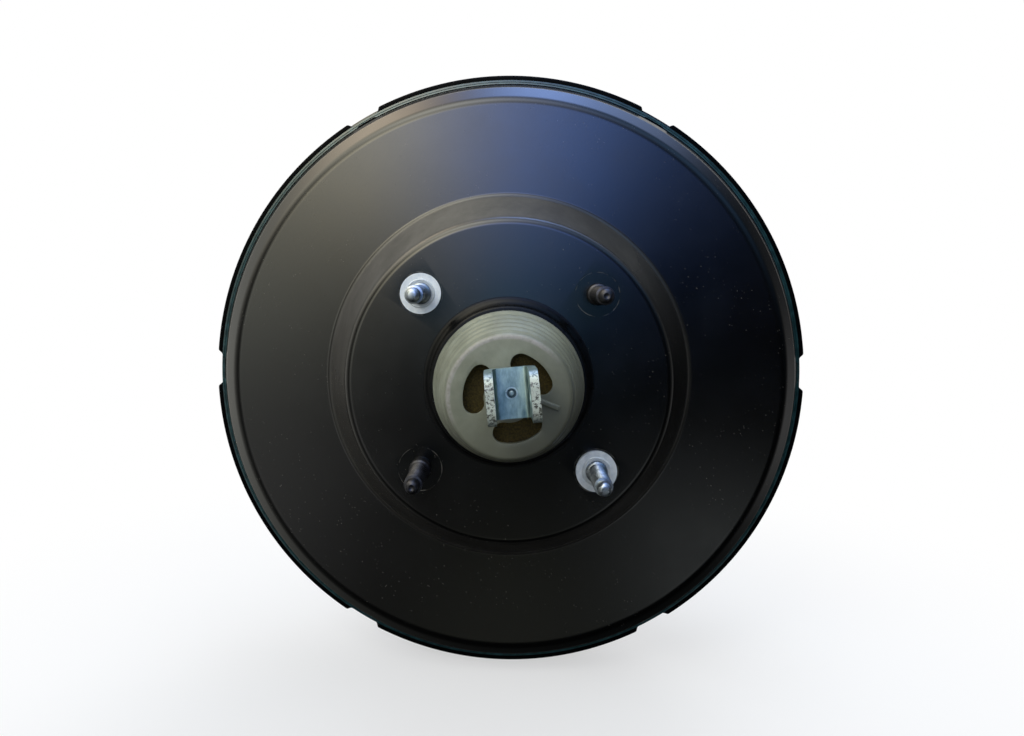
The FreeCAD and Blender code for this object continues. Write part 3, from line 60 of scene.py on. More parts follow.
def makeObject(name, bm, sharpAngle=40):
    mesh = bpy.data.meshes.new(name)
    bmesh.ops.recalc_face_normals(bm, faces=bm.faces)
    bm.to_mesh(mesh)
    bm.free()
    mesh.polygons.foreach_set("use_smooth", [True] * len(mesh.polygons))
    mesh.set_sharp_from_angle(angle=math.radians(sharpAngle))
    piece = bpy.data.objects.new(name, mesh)
    bpy.context.scene.collection.objects.link(piece)
    return piece


def ringPoint(radius, turn, centre=(0, 0)):
    # x and z of a point on a circle about Y; the turn is in degrees
    turn = math.radians(turn)
    return centre[0] + radius * math.cos(turn), centre[1] + radius * math.sin(turn)


def addPoint(bm, flat, y):
    return bm.verts.new((flat[0] * mm, y * mm, flat[1] * mm))


def joinRings(bm, a, b):
    # faces between two rings of points; a ring may be a single point
    count = max(len(a), len(b))
    for i in range(count):
        j = (i + 1) % count
        corners = [a[i % len(a)], a[j % len(a)], b[j % len(b)], b[i % len(b)]]
        distinct = list(dict.fromkeys(corners))
        if len(distinct) > 2:
            bm.faces.new(distinct)


def turnOutline(bm, outline, segments, closed, centre=(0, 0)):
    # turns (radius, y) points about the Y axis; a radius of 0 closes the end
    rings = []
    for radius, y in outline:
        count = 1 if radius < 1e-6 else segments
        turns = [360 * i / count for i in range(count)]
        rings.append([addPoint(bm, ringPoint(radius, turn, centre), y) for turn in turns])
    for a, b in zip(rings, rings[1:]):
        joinRings(bm, a, b)
    if closed:
        joinRings(bm, rings[-1], rings[0])
    return rings


def roundCorner(before, corner, after, radius, steps):
    # replaces an outline's corner by an arc
    a, c, b = Vector(before), Vector(corner), Vector(after)
    toA, toB = (a - c).normalized(), (b - c).normalized()
    half = toA.angle(toB) / 2
    reach = radius / math.tan(half)
    centre = c + (toA + toB).normalized() * (radius / math.sin(half))
    start, end = c + toA * reach - centre, c + toB * reach - centre
    points = []
    for i in range(steps + 1):
        share = i / steps
        way = (start * (1 - share) + end * share).normalized()
        points.append(tuple(centre + way * radius))
    return points


def roundedOutline(corners):
    # a corner is (radius, y), or (radius, y, rounding, steps) where it is rounded
    points = []
    for i, corner in enumerate(corners):
        if len(corner) == 2:
            points.append(corner)
            continue
        before, after = corners[i - 1], corners[(i + 1) % len(corners)]
        points += roundCorner(before[:2], corner[:2], after[:2], *corner[2:])
    return points


def applied(piece):
    # the piece's mesh with its modifiers made real
    graph = bpy.context.evaluated_depsgraph_get()
    graph.update()
    mesh = bpy.data.meshes.new_from_object(piece.evaluated_get(graph))
    piece.modifiers.clear()
    old = piece.data
    piece.data = mesh
    bpy.data.meshes.remove(old)


def bevelEdges(piece, width, angle, segments=2):
    bevel = piece.modifiers.new("softEdges", "BEVEL")
    bevel.width = width * mm
    bevel.segments = segments
    bevel.limit_method = "ANGLE"
    bevel.angle_limit = math.radians(angle)
    applied(piece)
    piece.data.set_sharp_from_angle(angle=math.radians(40))


def cutWith(piece, tool):
    # takes the tool's shape out of the piece
    cut = piece.modifiers.new("cut", "BOOLEAN")
    cut.object = tool
    cut.solver = "EXACT"
    applied(piece)
    bpy.data.objects.remove(tool)


def cutHole(piece, radius, low, high, segments, centre):
    bm = bmesh.new()
    turnOutline(bm, [(0, low), (radius, low), (radius, high), (0, high)], segments, False, centre)
    cutWith(piece, makeObject("holeCutter", bm))


def giveMaterial(piece, material):
    piece.data.materials.clear()
    piece.data.materials.append(material)


def dress(piece, material, body, node):
    giveMaterial(piece, material)
    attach(piece, body)
    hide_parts(node)


# ---- material helpers

def setInputs(node, values):
    for name, value in values.items():
        node.inputs[name].default_value = value


def mathNode(tree, operation, *parts):
    # each part is a plain number or another node's output
    node = tree.nodes.new("ShaderNodeMath")
    node.operation = operation
    for socket, part in zip(node.inputs, parts):
        if isinstance(part, (int, float)):
            socket.default_value = part
        else:
            tree.links.new(part, socket)
    return node.outputs["Value"]


class NodeDesk:
    # puts nodes into one material and wires them
    def __init__(self, name):
        self.material = bpy.data.materials.new(name)
        self.material.use_nodes = True
        self.tree = self.material.node_tree
        self.shader = self.tree.nodes["Principled BSDF"]
        self.place = self.tree.nodes.new("ShaderNodeTexCoord")
        self.where = self.place.outputs["Object"]

    def link(self, source, target):
        self.tree.links.new(source, target)

    def noise(self, scale, detail=4.0, roughness=0.55, stretch=None):
        node = self.tree.nodes.new("ShaderNodeTexNoise")
        setInputs(node, {"Scale": scale, "Detail": detail, "Roughness": roughness})
        where = self.where
        if stretch:
            mapping = self.tree.nodes.new("ShaderNodeMapping")
            mapping.inputs["Scale"].default_value = stretch
            self.link(self.where, mapping.inputs["Vector"])
            where = mapping.outputs["Vector"]
        self.link(where, node.inputs["Vector"])
        return node.outputs["Fac"]

    def cells(self, scale):
        node = self.tree.nodes.new("ShaderNodeTexVoronoi")
        node.inputs["Scale"].default_value = scale
        self.link(self.where, node.inputs["Vector"])
        return node.outputs["Distance"]

    def ramp(self, source, low, high, start=0.0, end=1.0):
        node = self.tree.nodes.new("ShaderNodeMapRange")
        setInputs(node, {"From Min": low, "From Max": high, "To Min": start, "To Max": end})
        self.link(source, node.inputs["Value"])
        return node.outputs["Result"]

    def band(self, source, start, end, soft):
        # 1 between two lengths in mm and 0 outside, with soft edges inside the band
        rise = self.ramp(source, start * mm, (start + soft) * mm)
        fall = self.ramp(source, end * mm, (end - soft) * mm)
        return self.product(rise, fall)

    def math(self, operation, *parts):
        return mathNode(self.tree, operation, *parts)

    def product(self, first, *others):
        for other in others:
            first = self.math("MULTIPLY", first, other)
        return first

    def blend(self, factor, first, second):
        node = self.tree.nodes.new("ShaderNodeMix")
        node.data_type = "RGBA"
        self.link(factor, node.inputs["Factor"])
        for socket, value in ((node.inputs[6], first), (node.inputs[7], second)):
            if isinstance(value, tuple):
                socket.default_value = (*value, 1)
            else:
                self.link(value, socket)
        return node.outputs[2]

    def axis(self, letter, source=None):
        node = self.tree.nodes.new("ShaderNodeSeparateXYZ")
        self.link(source or self.where, node.inputs["Vector"])
        return node.outputs[letter]

    def facing(self, letter):
        return self.axis(letter, self.place.outputs["Normal"])

    def length(self, a, b):
        # the length of the two sides' diagonal
        return self.math("SQRT", self.math("ADD", self.product(a, a), self.product(b, b)))

    def bump(self, height, strength, distance):
        node = self.tree.nodes.new("ShaderNodeBump")
        setInputs(node, {"Strength": strength, "Distance": distance * mm})
        self.link(height, node.inputs["Height"])
        self.link(node.outputs["Normal"], self.shader.inputs["Normal"])

    def finish(self, colour, roughness, metallic=0.0, specular=0.5):
        self.link(colour, self.shader.inputs["Base Color"])
        self.link(roughness, self.shader.inputs["Roughness"])
        setInputs(self.shader, {"Metallic": metallic, "Specular IOR Level": specular})
        return self.material


# ---- finishes

paintValues = {
    "dark": (0.0006, 0.0007, 0.0008),
    "paleTone": (0.0016, 0.0016, 0.0017),
    # pale colour of the dust specks, and also of the painted reflection and painted highlights below
    "dust": (0.17, 0.16, 0.14),
    "roughness": (0.15, 0.23),
    "specular": 0.5,
    "paintedStepSheen": 1.0,  # painted reflection on the step's slope, brightest above and to the left, least on the right
    "stepInner": 73.0,  # the step in the pressed shell, where the painted reflection lies
    "stepOuter": 89.0,
    "stepSoft": 3.0,
    "studSpread": 40.0,
    "rearEnd": 36.0,  # the painted reflection on the step, the pale rings round the studs and the painted highlight on the shoulder are on the rear shell only
    "rearSoft": 2.0,
    "scuffHighlightRadius": 10.0,  # pale ring round each stud: wear from a washer, and a painted highlight on the seat's edge
    "scuffHighlightWidth": 0.28,
    "lineRadius": 141.2,  # painted highlight along the crisp line of the shoulder
    "lineWidth": 0.55,
    "cloudScale": 14,
    "streakScale": 60,
    "streakStretch": (1.0, 1.0, 0.25),
    "patchScale": 22,
    "speckScale": 700,
    "speckShare": 0.8,
    "scratchShare": 0.12,
    "scuffHighlightShare": 0.9,
    "grain": (900, 0.05, 0.12),  # scale, strength and depth of the finest bumps
}


def makePaint(values):
    desk = NodeDesk("satinBlackPaint")
    clouds = desk.noise(values["cloudScale"], 5, 0.6)
    streaks = desk.noise(values["streakScale"], 6, 0.7, values["streakStretch"])
    base = desk.blend(desk.ramp(clouds, 0.38, 0.68), values["dark"], values["paleTone"])

    # specks of dust in patches, and faint scratches
    patches = desk.ramp(desk.noise(values["patchScale"], 3), 0.42, 0.62)
    specks = desk.ramp(desk.cells(values["speckScale"]), 0.20, 0.10)
    picked = desk.ramp(desk.noise(420, 2), 0.57, 0.62)
    dust = desk.product(specks, picked, patches, values["speckShare"])
    scratches = desk.product(
        desk.ramp(streaks, 0.66, 0.74), desk.ramp(clouds, 0.55, 0.7), values["scratchShare"],
    )
    marks = desk.math("MAXIMUM", dust, scratches)

    # painted reflection on the step's slope, lighter where it faces up and to the left
    away = desk.length(desk.axis("X"), desk.axis("Z"))
    inStep = desk.band(away, values["stepInner"], values["stepOuter"], values["stepSoft"])
    upwards = desk.math(
        "SUBTRACT", desk.product(desk.facing("Z"), 0.8), desk.product(desk.facing("X"), 0.6),
    )
    upwards = desk.ramp(upwards, 0.35, 0.8, 0.42, 0.95)
    notRight = desk.ramp(desk.facing("X"), 0.62, 0.86, 1.0, 0.15)
    streaky = desk.ramp(streaks, 0.3, 0.7, 0.6, 1.0)
    paintedSheenAndWear = desk.product(upwards, notRight, inStep, streaky, values["paintedStepSheen"])

    # pale ring round each stud: wear from a washer, and a painted highlight on the edge of the stud's seat
    spread = values["studSpread"] * mm
    across = desk.math("SUBTRACT", desk.math("ABSOLUTE", desk.axis("X")), spread)
    up = desk.math("SUBTRACT", desk.math("ABSOLUTE", desk.axis("Z")), spread)
    fromRing = desk.math("SUBTRACT", desk.length(across, up), values["scuffHighlightRadius"] * mm)
    ring = desk.ramp(desk.math("ABSOLUTE", fromRing), values["scuffHighlightWidth"] * mm, 0.0)
    broken = desk.ramp(desk.noise(160, 3), 0.46, 0.62)
    paintedSheenAndWear = desk.math("MAXIMUM", paintedSheenAndWear, desk.product(ring, broken, values["scuffHighlightShare"]))

    # painted highlight along the shoulder's crisp line
    fromLine = desk.math("ABSOLUTE", desk.math("SUBTRACT", away, values["lineRadius"] * mm))
    line = desk.ramp(fromLine, values["lineWidth"] * mm, 0.0)
    paintedSheenAndWear = desk.math("MAXIMUM", paintedSheenAndWear, desk.product(line, desk.ramp(streaks, 0.3, 0.6, 0.35, 0.75)))
    rearEnd = values["rearEnd"]
    onRear = desk.ramp(desk.axis("Y"), rearEnd * mm, (rearEnd - values["rearSoft"]) * mm)
    marks = desk.math("MAXIMUM", marks, desk.product(paintedSheenAndWear, onRear))

    colour = desk.blend(marks, base, values["dust"])
    roughness = desk.ramp(desk.noise(35, 6, 0.65), 0.3, 0.7, *values["roughness"])
    scale, strength, depth = values["grain"]
    desk.bump(desk.noise(scale, 2, 0.5), strength, depth)
    return desk.finish(colour, roughness, 0.0, values["specular"])


edgeValues = {
    "cutEdge": {"colour": (0.0006, 0.0007, 0.0008), "specular": 0.02, "roughness": (0.45, 0.6)},
    # the flat band's teal colour is a painted reflection
    "paintedSheenBand": {"colour": (0.010, 0.036, 0.040), "specular": 0.7, "roughness": (0.16, 0.26)},
    "neckPaint": {"colour": (0.0014, 0.0016, 0.0018), "specular": 0.14, "roughness": (0.25, 0.35)},
}


def makeEdge(name):
    # the skirt's free edge, matt where cut and glossy beside it with a painted teal reflection, and the
    # duller foot of the neck
    values = edgeValues[name]
    desk = NodeDesk(name)
    spots = desk.noise(240, 4, 0.6)
    pale = tuple(2.2 * part for part in values["colour"])
    colour = desk.blend(desk.ramp(spots, 0.4, 0.75), values["colour"], pale)
    return desk.finish(colour, desk.ramp(spots, 0.3, 0.7, *values["roughness"]), 0.0, values["specular"])


metalValues = {
    "zincBlue": {"light": (0.36, 0.40, 0.44), "dark": (0.17, 0.19, 0.21), "roughness": (0.24, 0.40)},
    "platedRod": {"light": (0.52, 0.62, 0.63), "dark": (0.27, 0.35, 0.37), "roughness": (0.24, 0.42)},
    "blackZinc": {"light": (0.055, 0.055, 0.062), "dark": (0.018, 0.018, 0.02), "roughness": (0.3, 0.48)},
    "bareSteel": {"light": (0.52, 0.52, 0.53), "dark": (0.33, 0.33, 0.34), "roughness": (0.28, 0.45)},
    "springWire": {"light": (0.34, 0.34, 0.36), "dark": (0.20, 0.20, 0.22), "roughness": (0.25, 0.4)},
}


def metalBase(desk, values):
    # mottled metal with a fine grain; gives the colour and the roughness
    mottle = desk.ramp(desk.noise(260, 6, 0.65), 0.32, 0.68)
    grain = desk.noise(900, 4, 0.6)
    desk.bump(grain, 0.12, 0.12)
    colour = desk.blend(mottle, values["dark"], values["light"])
    return colour, desk.ramp(grain, 0.3, 0.7, *values["roughness"])


def makeMetal(name):
    desk = NodeDesk(name)
    colour, roughness = metalBase(desk, metalValues[name])
    return desk.finish(colour, roughness, 0.9)


rivetValues = {
    "centre": (1.06, 2.89),  # x and z of the rod's riveted end
    "punch": 0.85,
    "rim": 1.95,  # darker ring between the punch mark and the rim
    "soft": 0.15,
    "darkRing": (0.045, 0.065, 0.070),
}


def makeRivetedRod(values, plate):
    desk = NodeDesk("rivetedRod")
    clean, roughness = metalBase(desk, plate)
    x, z = values["centre"]
    away = desk.length(
        desk.math("SUBTRACT", desk.axis("X"), x * mm), desk.math("SUBTRACT", desk.axis("Z"), z * mm),
    )
    darkRing = desk.band(away, values["punch"], values["rim"], values["soft"])
    return desk.finish(desk.blend(darkRing, clean, values["darkRing"]), roughness, 0.6)


washerValues = {"white": (0.88, 0.92, 0.93), "shade": (0.70, 0.76, 0.80)}


def makeWasherCoat(values):
    desk = NodeDesk("paleWasherCoat")
    mottle = desk.noise(420, 5, 0.6)
    colour = desk.blend(desk.ramp(mottle, 0.35, 0.65), values["shade"], values["white"])
    desk.bump(mottle, 0.2, 0.1)
    return desk.finish(colour, desk.ramp(mottle, 0.3, 0.7, 0.35, 0.55), 0.15)


clevisValues = {
    "plate": (0.33, 0.44, 0.42),
    "plateDark": (0.14, 0.21, 0.21),
    "crust": (0.60, 0.66, 0.58),
    "rust": (0.060, 0.058, 0.042),
    "crustStart": -61.0,  # y where the crust begins, and where it is thickest
    "crustEnd": -65.5,
    "crustRagged": 1.6,
}


def makeClevisZinc(values):
    # plated sheet whose sheared ends have whitish corrosion and a little rust
    desk = NodeDesk("clevisZinc")
    scratches = desk.noise(300, 6, 0.7, (1.0, 1.0, 0.35))
    plate = desk.blend(desk.ramp(scratches, 0.35, 0.66), values["plateDark"], values["plate"])
    crumbs = desk.noise(900, 4, 0.7)
    crust = desk.blend(desk.ramp(crumbs, 0.49, 0.58), values["crust"], values["rust"])
    ragged = values["crustRagged"] * mm
    along = desk.math("ADD", desk.axis("Y"), desk.ramp(crumbs, 0.0, 1.0, -ragged, ragged))
    ends = desk.ramp(along, values["crustStart"] * mm, values["crustEnd"] * mm)
    colour = desk.blend(ends, plate, crust)
    desk.bump(crumbs, 0.25, 0.2)
    desk.link(desk.ramp(ends, 0.0, 1.0, 0.85, 0.0), desk.shader.inputs["Metallic"])
    return desk.finish(colour, desk.ramp(scratches, 0.3, 0.7, 0.28, 0.5))


softValues = {
    "blackRubber": {
        "light": (0.035, 0.035, 0.035), "dark": (0.018, 0.018, 0.018), "scale": 150, "bump": (0.2, 0.1),
        "roughness": (0.5, 0.7),
    },
    "filterFoam": {
        "light": (0.085, 0.061, 0.012), "dark": (0.022, 0.017, 0.005), "scale": 1200, "bump": (0.9, 0.5),
        "roughness": (0.85, 0.98),
    },
    "wovenFelt": {
        "light": (0.50, 0.48, 0.44), "dark": (0.36, 0.34, 0.31), "scale": 1500, "bump": (0.6, 0.3),
        "roughness": (0.9, 1.0),
    },
    "naturalNylon": {
        "light": (0.72, 0.69, 0.60), "dark": (0.62, 0.59, 0.50), "scale": 120, "bump": (0.1, 0.08),
        "roughness": (0.35, 0.5),
    },
    "mouldedPhenolic": {
        "light": (0.085, 0.050, 0.034), "dark": (0.045, 0.026, 0.019), "scale": 240, "bump": (0.15, 0.08),
        "roughness": (0.30, 0.45),
    },
    "valveNylon": {
        "light": (0.040, 0.040, 0.044), "dark": (0.022, 0.022, 0.025), "scale": 260, "bump": (0.2, 0.1),
        "roughness": (0.38, 0.55),
    },
}


def softBase(desk, values):
    # gives the colour, the roughness and the two noises they are made of
    mottle = desk.noise(values["scale"], 6, 0.62)
    fine = desk.noise(values["scale"] * 6, 3, 0.5)
    desk.bump(desk.math("ADD", mottle, desk.product(fine, 0.5)), *values["bump"])
    colour = desk.blend(desk.ramp(mottle, 0.34, 0.66), values["dark"], values["light"])
    return colour, desk.ramp(fine, 0.3, 0.7, *values["roughness"]), mottle, fine


def makeSoft(name):
    desk = NodeDesk(name)
    return desk.finish(*softBase(desk, softValues[name])[:2])


bootRubberValues = {
    "light": (0.275, 0.290, 0.222),
    "dark": (0.190, 0.200, 0.147),
    # painted shade: the rubber darkens towards the lower right, away from the key light
    "paintedShade": (0.042, 0.040, 0.024),
    "paintedShadeWay": (0.55, -0.85),  # right and down
    "paintedShadeReach": (-14.0, 30.0),
    "paintedShadeRagged": 6.0,
    "paintedShadeShare": 0.85,
    # pale colour of the painted highlight on the end's corner
    "paleTone": (0.44, 0.41, 0.40),
    "highlightInner": 22.9,  # the corner of the end, with a painted highlight
    "highlightOuter": 25.4,
    "highlightSoft": 0.7,
    "scale": 90,
    "bump": (0.25, 0.15),
    "roughness": (0.42, 0.6),
}


def makeBootRubber(values):
    desk = NodeDesk("bootRubberWithPaintedLight")
    clean, roughness, mottle, fine = softBase(desk, values)
    # painted shade, darker towards the lower right
    right, up = values["paintedShadeWay"]
    down = desk.math("ADD", desk.product(desk.axis("X"), right), desk.product(desk.axis("Z"), up))
    ragged = values["paintedShadeRagged"] * mm
    down = desk.math("ADD", down, desk.ramp(mottle, 0.0, 1.0, -ragged, ragged))
    start, end = values["paintedShadeReach"]
    paintedShade = desk.ramp(down, start * mm, end * mm, 0.0, values["paintedShadeShare"])
    away = desk.length(desk.axis("X"), desk.axis("Z"))
    # painted highlight on the end's corner, where the painted shade is least
    corner = desk.band(away, values["highlightInner"], values["highlightOuter"], values["highlightSoft"])
    paintedCornerHighlight = desk.product(desk.ramp(paintedShade, 0.26, 0.05), desk.ramp(fine, 0.3, 0.6, 0.2, 0.7))
    colour = desk.blend(paintedShade, clean, values["paintedShade"])
    colour = desk.blend(desk.product(corner, paintedCornerHighlight), colour, values["paleTone"])
    return desk.finish(colour, roughness)


paint = makePaint(paintValues)
bootRubber = makeBootRubber(bootRubberValues)
edges = {name: makeEdge(name) for name in edgeValues}
washerCoat = makeWasherCoat(washerValues)
clevisZinc = makeClevisZinc(clevisValues)
metals = {name: makeMetal(name) for name in metalValues}
rivetedRod = makeRivetedRod(rivetValues, metalValues["platedRod"])
softs = {name: makeSoft(name) for name in softValues}
finishes = {
    **metals, **softs, "paleWasherCoat": washerCoat, "clevisZinc": clevisZinc, "rivetedRod": rivetedRod,
}
nodesOf = {
    "bareSteel": [
        "rear_stud_plate", "front_stud_plate", "diaphragm_plate", "output_rod_clip", "front_seal_cup",
        "plunger", "stop_key", "poppet_retainer", "spring_cup",
    ],
    "springWire": ["check_valve_spring", "return_spring", "poppet_spring", "input_return_spring"],
    "platedRod": ["output_rod"],
    "rivetedRod": ["input_rod"],
    "clevisZinc": ["clevis"],
    "paleWasherCoat": ["stud_washers"],
    "blackRubber": [
        "check_valve_grommet", "check_valve_disc", "rear_seal", "diaphragm", "reaction_disc", "front_seal",
        "poppet_valve",
    ],
    "valveNylon": ["check_valve_cup", "check_valve_cap"],
    "naturalNylon": ["rear_bearing"],
    "mouldedPhenolic": ["valve_body"],
    "wovenFelt": ["silencer"],
}
for finish, names in nodesOf.items():
    for name in names:
        giveMaterial(nodes[name], finishes[finish])
print("finishes on the CAD nodes")


# ---- springs, as copies of the CAD nodes' coils

springValues = {
    "return_spring": {
        "name": "returnSpringCoil", "fixed": 110.9, "free": 35.1, "travel": pistonStroke,
        "joint": "piston_slide", "body": "housing",
    },
    "check_valve_spring": {
        "name": "checkValveCoil", "fixed": 120.8, "free": 108.9, "travel": 1.6,
        "joint": "check_valve_slide", "body": "housing",
    },
    "input_return_spring": {
        "name": "inputRodCoil", "fixed": -25.8, "free": -13.5, "travel": 1.7,
        "joint": "plunger_slide", "body": "push_rod",
    },
}


def copyOf(node, name):
    # the CAD node's own shape as a new piece, as the node itself stays as it is
    piece = bpy.data.objects.new(name, nodes[node].data.copy())
    piece.matrix_world = nodes[node].matrix_world.copy()
    bpy.context.scene.collection.objects.link(piece)
    return piece


def makeSpring(node, values):
    # a copy of the node's coil, on the body it rides with
    coil = copyOf(node, values["name"])
    dress(coil, metals["springWire"], values["body"], node)
    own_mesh(coil)


for node, values in springValues.items():
    makeSpring(node, values)
print("springs made")


# ---- diaphragm, a copy of the CAD node's sheet


def makeDiaphragm():
    sheet = copyOf("diaphragm", "rollingDiaphragm")
    giveMaterial(sheet, softs["blackRubber"])
    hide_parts("diaphragm")
    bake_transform(sheet)


makeDiaphragm()
print("diaphragm made")


# ---- studs with rolled threads

studValues = {
    "threadRadius": 4.0,
    "threadDepth": 0.62,
    "threadPitch": 1.25,
    "rowsPerTurn": 8,
    "around": 28,
    "collarRadius": 4.9,
    "headRadius": 8.0,
    "headBevel": 0.6,
    "collarBevel": 0.25,
    "tipRadius": 3.1,
    "tipRound": 1.9,
    "tipLength": 4.6,
    "threadGap": 0.4,  # plain length between the thread and the collar
    "dimple": [(0, 0.5), (1.1, 0.35), (1.5, 0)],  # radius and depth, in the end of a black stud
}


def makeStud(name, centre, place, values, dimpled):
    # a headed stud along Y; tip, collar and head are y places
    tip, headStart, headEnd = place["tip"], place["headStart"], place["headEnd"]
    way = 1 if headEnd > tip else -1
    around = values["around"]
    bm = bmesh.new()
    shoulder = tip + way * values["tipLength"]
    dimple = values["dimple"] if dimpled else [(0, 0)]
    outline = [(radius, tip + way * depth) for radius, depth in dimple]
    lead = values["tipRound"]
    for i in range(6):
        turn = math.pi / 2 * i / 5
        radius = values["tipRadius"] - lead + lead * math.sin(turn)
        outline.append((radius, tip + way * lead * (1 - math.cos(turn))))
    outline.append((values["tipRadius"], shoulder))
    turnOutline(bm, outline, around, False, centre)
    start, end = shoulder, place["collarEnd"] - way * values["threadGap"]
    rows = int(abs(end - start) / values["threadPitch"] * values["rowsPerTurn"])
    last = None
    for row in range(rows + 1):
        y = start + (end - start) * row / rows
        fade = min(1, row / values["rowsPerTurn"], (rows - row) / values["rowsPerTurn"] + 0.15)
        ring = []
        for i in range(around):
            phase = (abs(y - start) / values["threadPitch"] - way * i / around) % 1
            groove = min(1, max(0, 1.25 - abs(phase - 0.5) * 3.2))
            radius = values["threadRadius"] - values["threadDepth"] * groove * fade
            if row == 0:
                radius = values["tipRadius"]
            ring.append(addPoint(bm, ringPoint(radius, 360 * i / around, centre), y))
        if last:
            joinRings(bm, last, ring)
        last = ring
    collar, collarBevel = values["collarRadius"], values["collarBevel"]
    head, headBevel = values["headRadius"], values["headBevel"]
    body = [
        (values["threadRadius"] - 0.2, end),
        (collar - collarBevel, place["collarEnd"]),
        (collar, place["collarEnd"] + way * collarBevel),
        (collar, headStart),
        (head, headStart),
        (head, headEnd - way * headBevel),
        (head - headBevel, headEnd),
        (0, headEnd),
    ]
    turnOutline(bm, body, around, False, centre)
    bmesh.ops.remove_doubles(bm, verts=bm.verts, dist=1e-6)
    return makeObject(name, bm, 50)


studPlaces = {
    "mounting": {"spread": 40.0, "tip": -28.4, "collarEnd": -2.6, "headStart": 4.8, "headEnd": 8.6},
    "cylinder": {"spread": 41.0, "tip": 142.0, "collarEnd": 117.5, "headStart": 111.2, "headEnd": 107.4},
}


def studSet(place, corners, names, material, node, dimpled):
    for (right, up), name in zip(corners, names):
        centre = (right * place["spread"], up * place["spread"])
        stud = makeStud(name, centre, place, studValues, dimpled)
        dress(stud, material, "housing", node)


studSet(
    studPlaces["mounting"], [(-1, 1), (1, -1)], ["brightStudUpper", "brightStudLower"],
    metals["zincBlue"], "mounting_studs_bright", False,
)
studSet(
    studPlaces["mounting"], [(1, 1), (-1, -1)], ["blackStudUpper", "blackStudLower"],
    metals["blackZinc"], "mounting_studs_black", True,
)
studSet(
    studPlaces["cylinder"], [(1, 0), (-1, 0)], ["cylinderStudRight", "cylinderStudLeft"],
    metals["zincBlue"], "master_cylinder_studs", False,
)
print("studs made")


# ---- front shell with its crimped rim

frontValues = {
    "rim": 150.0,  # outside of the skirt
    "band": 147.3,  # where the rounded edge meets the flat band
    "bandInner": 145.2,
    "bandLean": 0.35,
    "grooveHalf": 0.15,
    "grooveDepth": 0.2,
    "slitDepth": 0.5,
    "slitHalf": 5.3,
    "slitSoft": 0.6,
    "notchFloor": 147.4,
    "notchHalf": 8.3,
    "notchCurve": 2.6,
    "notchCount": 6,
    "edge": 38.6,
    "edgeRound": 1.5,
    "notchEnd": 45.0,
    "notchSoft": 0.5,
    "bandBack": 42.5,
    "bandPaintEnd": 39.2,
    "fineReach": 5.5,  # degrees on each side of a notch that have close sections
    "coarseTurn": 1.6,
    "fineTurn": 0.25,
}
frontBody = {
    "skirtInner": 148.2, "seat": 49.6, "wall": 145.8, "wallInner": 144.0, "step": 51.4, "bodyEnd": 66.0,
    "domeRadius": 118.0, "dome": 102.0, "sheet": 1.8, "padFoot": 60.0, "padRadius": 54.0, "pad": 116.0,
    "pilot": 20.5, "pilotFloor": 104.0, "pilotBevel": 0.6, "rodHole": 9.0,
    "stepRound": 1.8, "bodyRound": 18.0, "domeRound": 14.0, "padRound": 4.0,
    "holes": [((41.0, 0.0), 5.05), ((-41.0, 0.0), 5.05), (ringPoint(89.0, 130), 9.5)],  # centre and radius
    "cutter": (90.0, 125.0),  # y reach of the tool that makes them
}


def easeStep(share):
    share = max(0.0, min(1.0, share))
    return share * share * (3 - 2 * share)


def frontOutline(values, body, turn):
    # the shell's section at one angle; the rim changes at the notches
    v, b = values, body
    spacing = 360 / v["notchCount"]
    offset = (turn + spacing / 2) % spacing - spacing / 2
    along = abs(math.radians(offset)) * v["rim"]
    notch = easeStep((v["notchHalf"] + v["notchCurve"] / 2 - along) / v["notchCurve"])
    slit = easeStep((v["slitHalf"] + v["slitSoft"] / 2 - along) / v["slitSoft"])
    outer = v["rim"] + (v["notchFloor"] - v["rim"]) * notch
    inner = v["bandInner"] + v["slitDepth"] * slit
    lean = v["edge"] + v["bandLean"]
    corners = [(v["rim"], v["notchEnd"] + v["notchSoft"]), (outer, v["notchEnd"])]
    for i in range(6):
        bend = math.pi / 2 * i / 5
        out, rear = (outer - v["band"]) * math.cos(bend), v["edgeRound"] * math.sin(bend)
        corners.append((v["band"] + out, lean + v["edgeRound"] - rear))
    groove = (v["band"] + v["bandInner"]) / 2
    half, middle = v["grooveHalf"], (lean + v["edge"]) / 2
    sheet, seat = b["sheet"], b["seat"]
    slope = sheet * slopeShare
    dome, pad, floor, pilot = b["dome"], b["pad"], b["pilotFloor"], b["pilot"]
    corners += [
        (groove + half, middle), (groove, middle + v["grooveDepth"]), (groove - half, middle),
        (inner + half, v["edge"]), (inner, v["edge"] + half), (inner, v["bandBack"]),
        (b["skirtInner"], v["bandBack"]), (b["skirtInner"], seat), (b["wallInner"], seat),
        (b["wallInner"], b["bodyEnd"] - slope, b["bodyRound"] - sheet, 6),
        (b["domeRadius"] - slope, dome - sheet, b["domeRound"] - sheet, 6),
        (b["padFoot"] - slope, dome - sheet), (b["padRadius"] - slope, pad - sheet),
        (pilot + sheet, pad - sheet), (pilot + sheet, floor - sheet),
        (b["rodHole"], floor - sheet), (b["rodHole"], floor),
        (pilot, floor), (pilot, pad - b["pilotBevel"]), (pilot + b["pilotBevel"], pad),
        (b["padRadius"], pad, b["padRound"], 5), (b["padFoot"], dome, b["padRound"], 5),
        (b["domeRadius"], dome, b["domeRound"], 8), (b["wall"], b["bodyEnd"], b["bodyRound"], 8),
        (b["wall"], b["step"]), (v["rim"], b["step"], b["stepRound"], 5),
    ]
    return roundedOutline(corners)


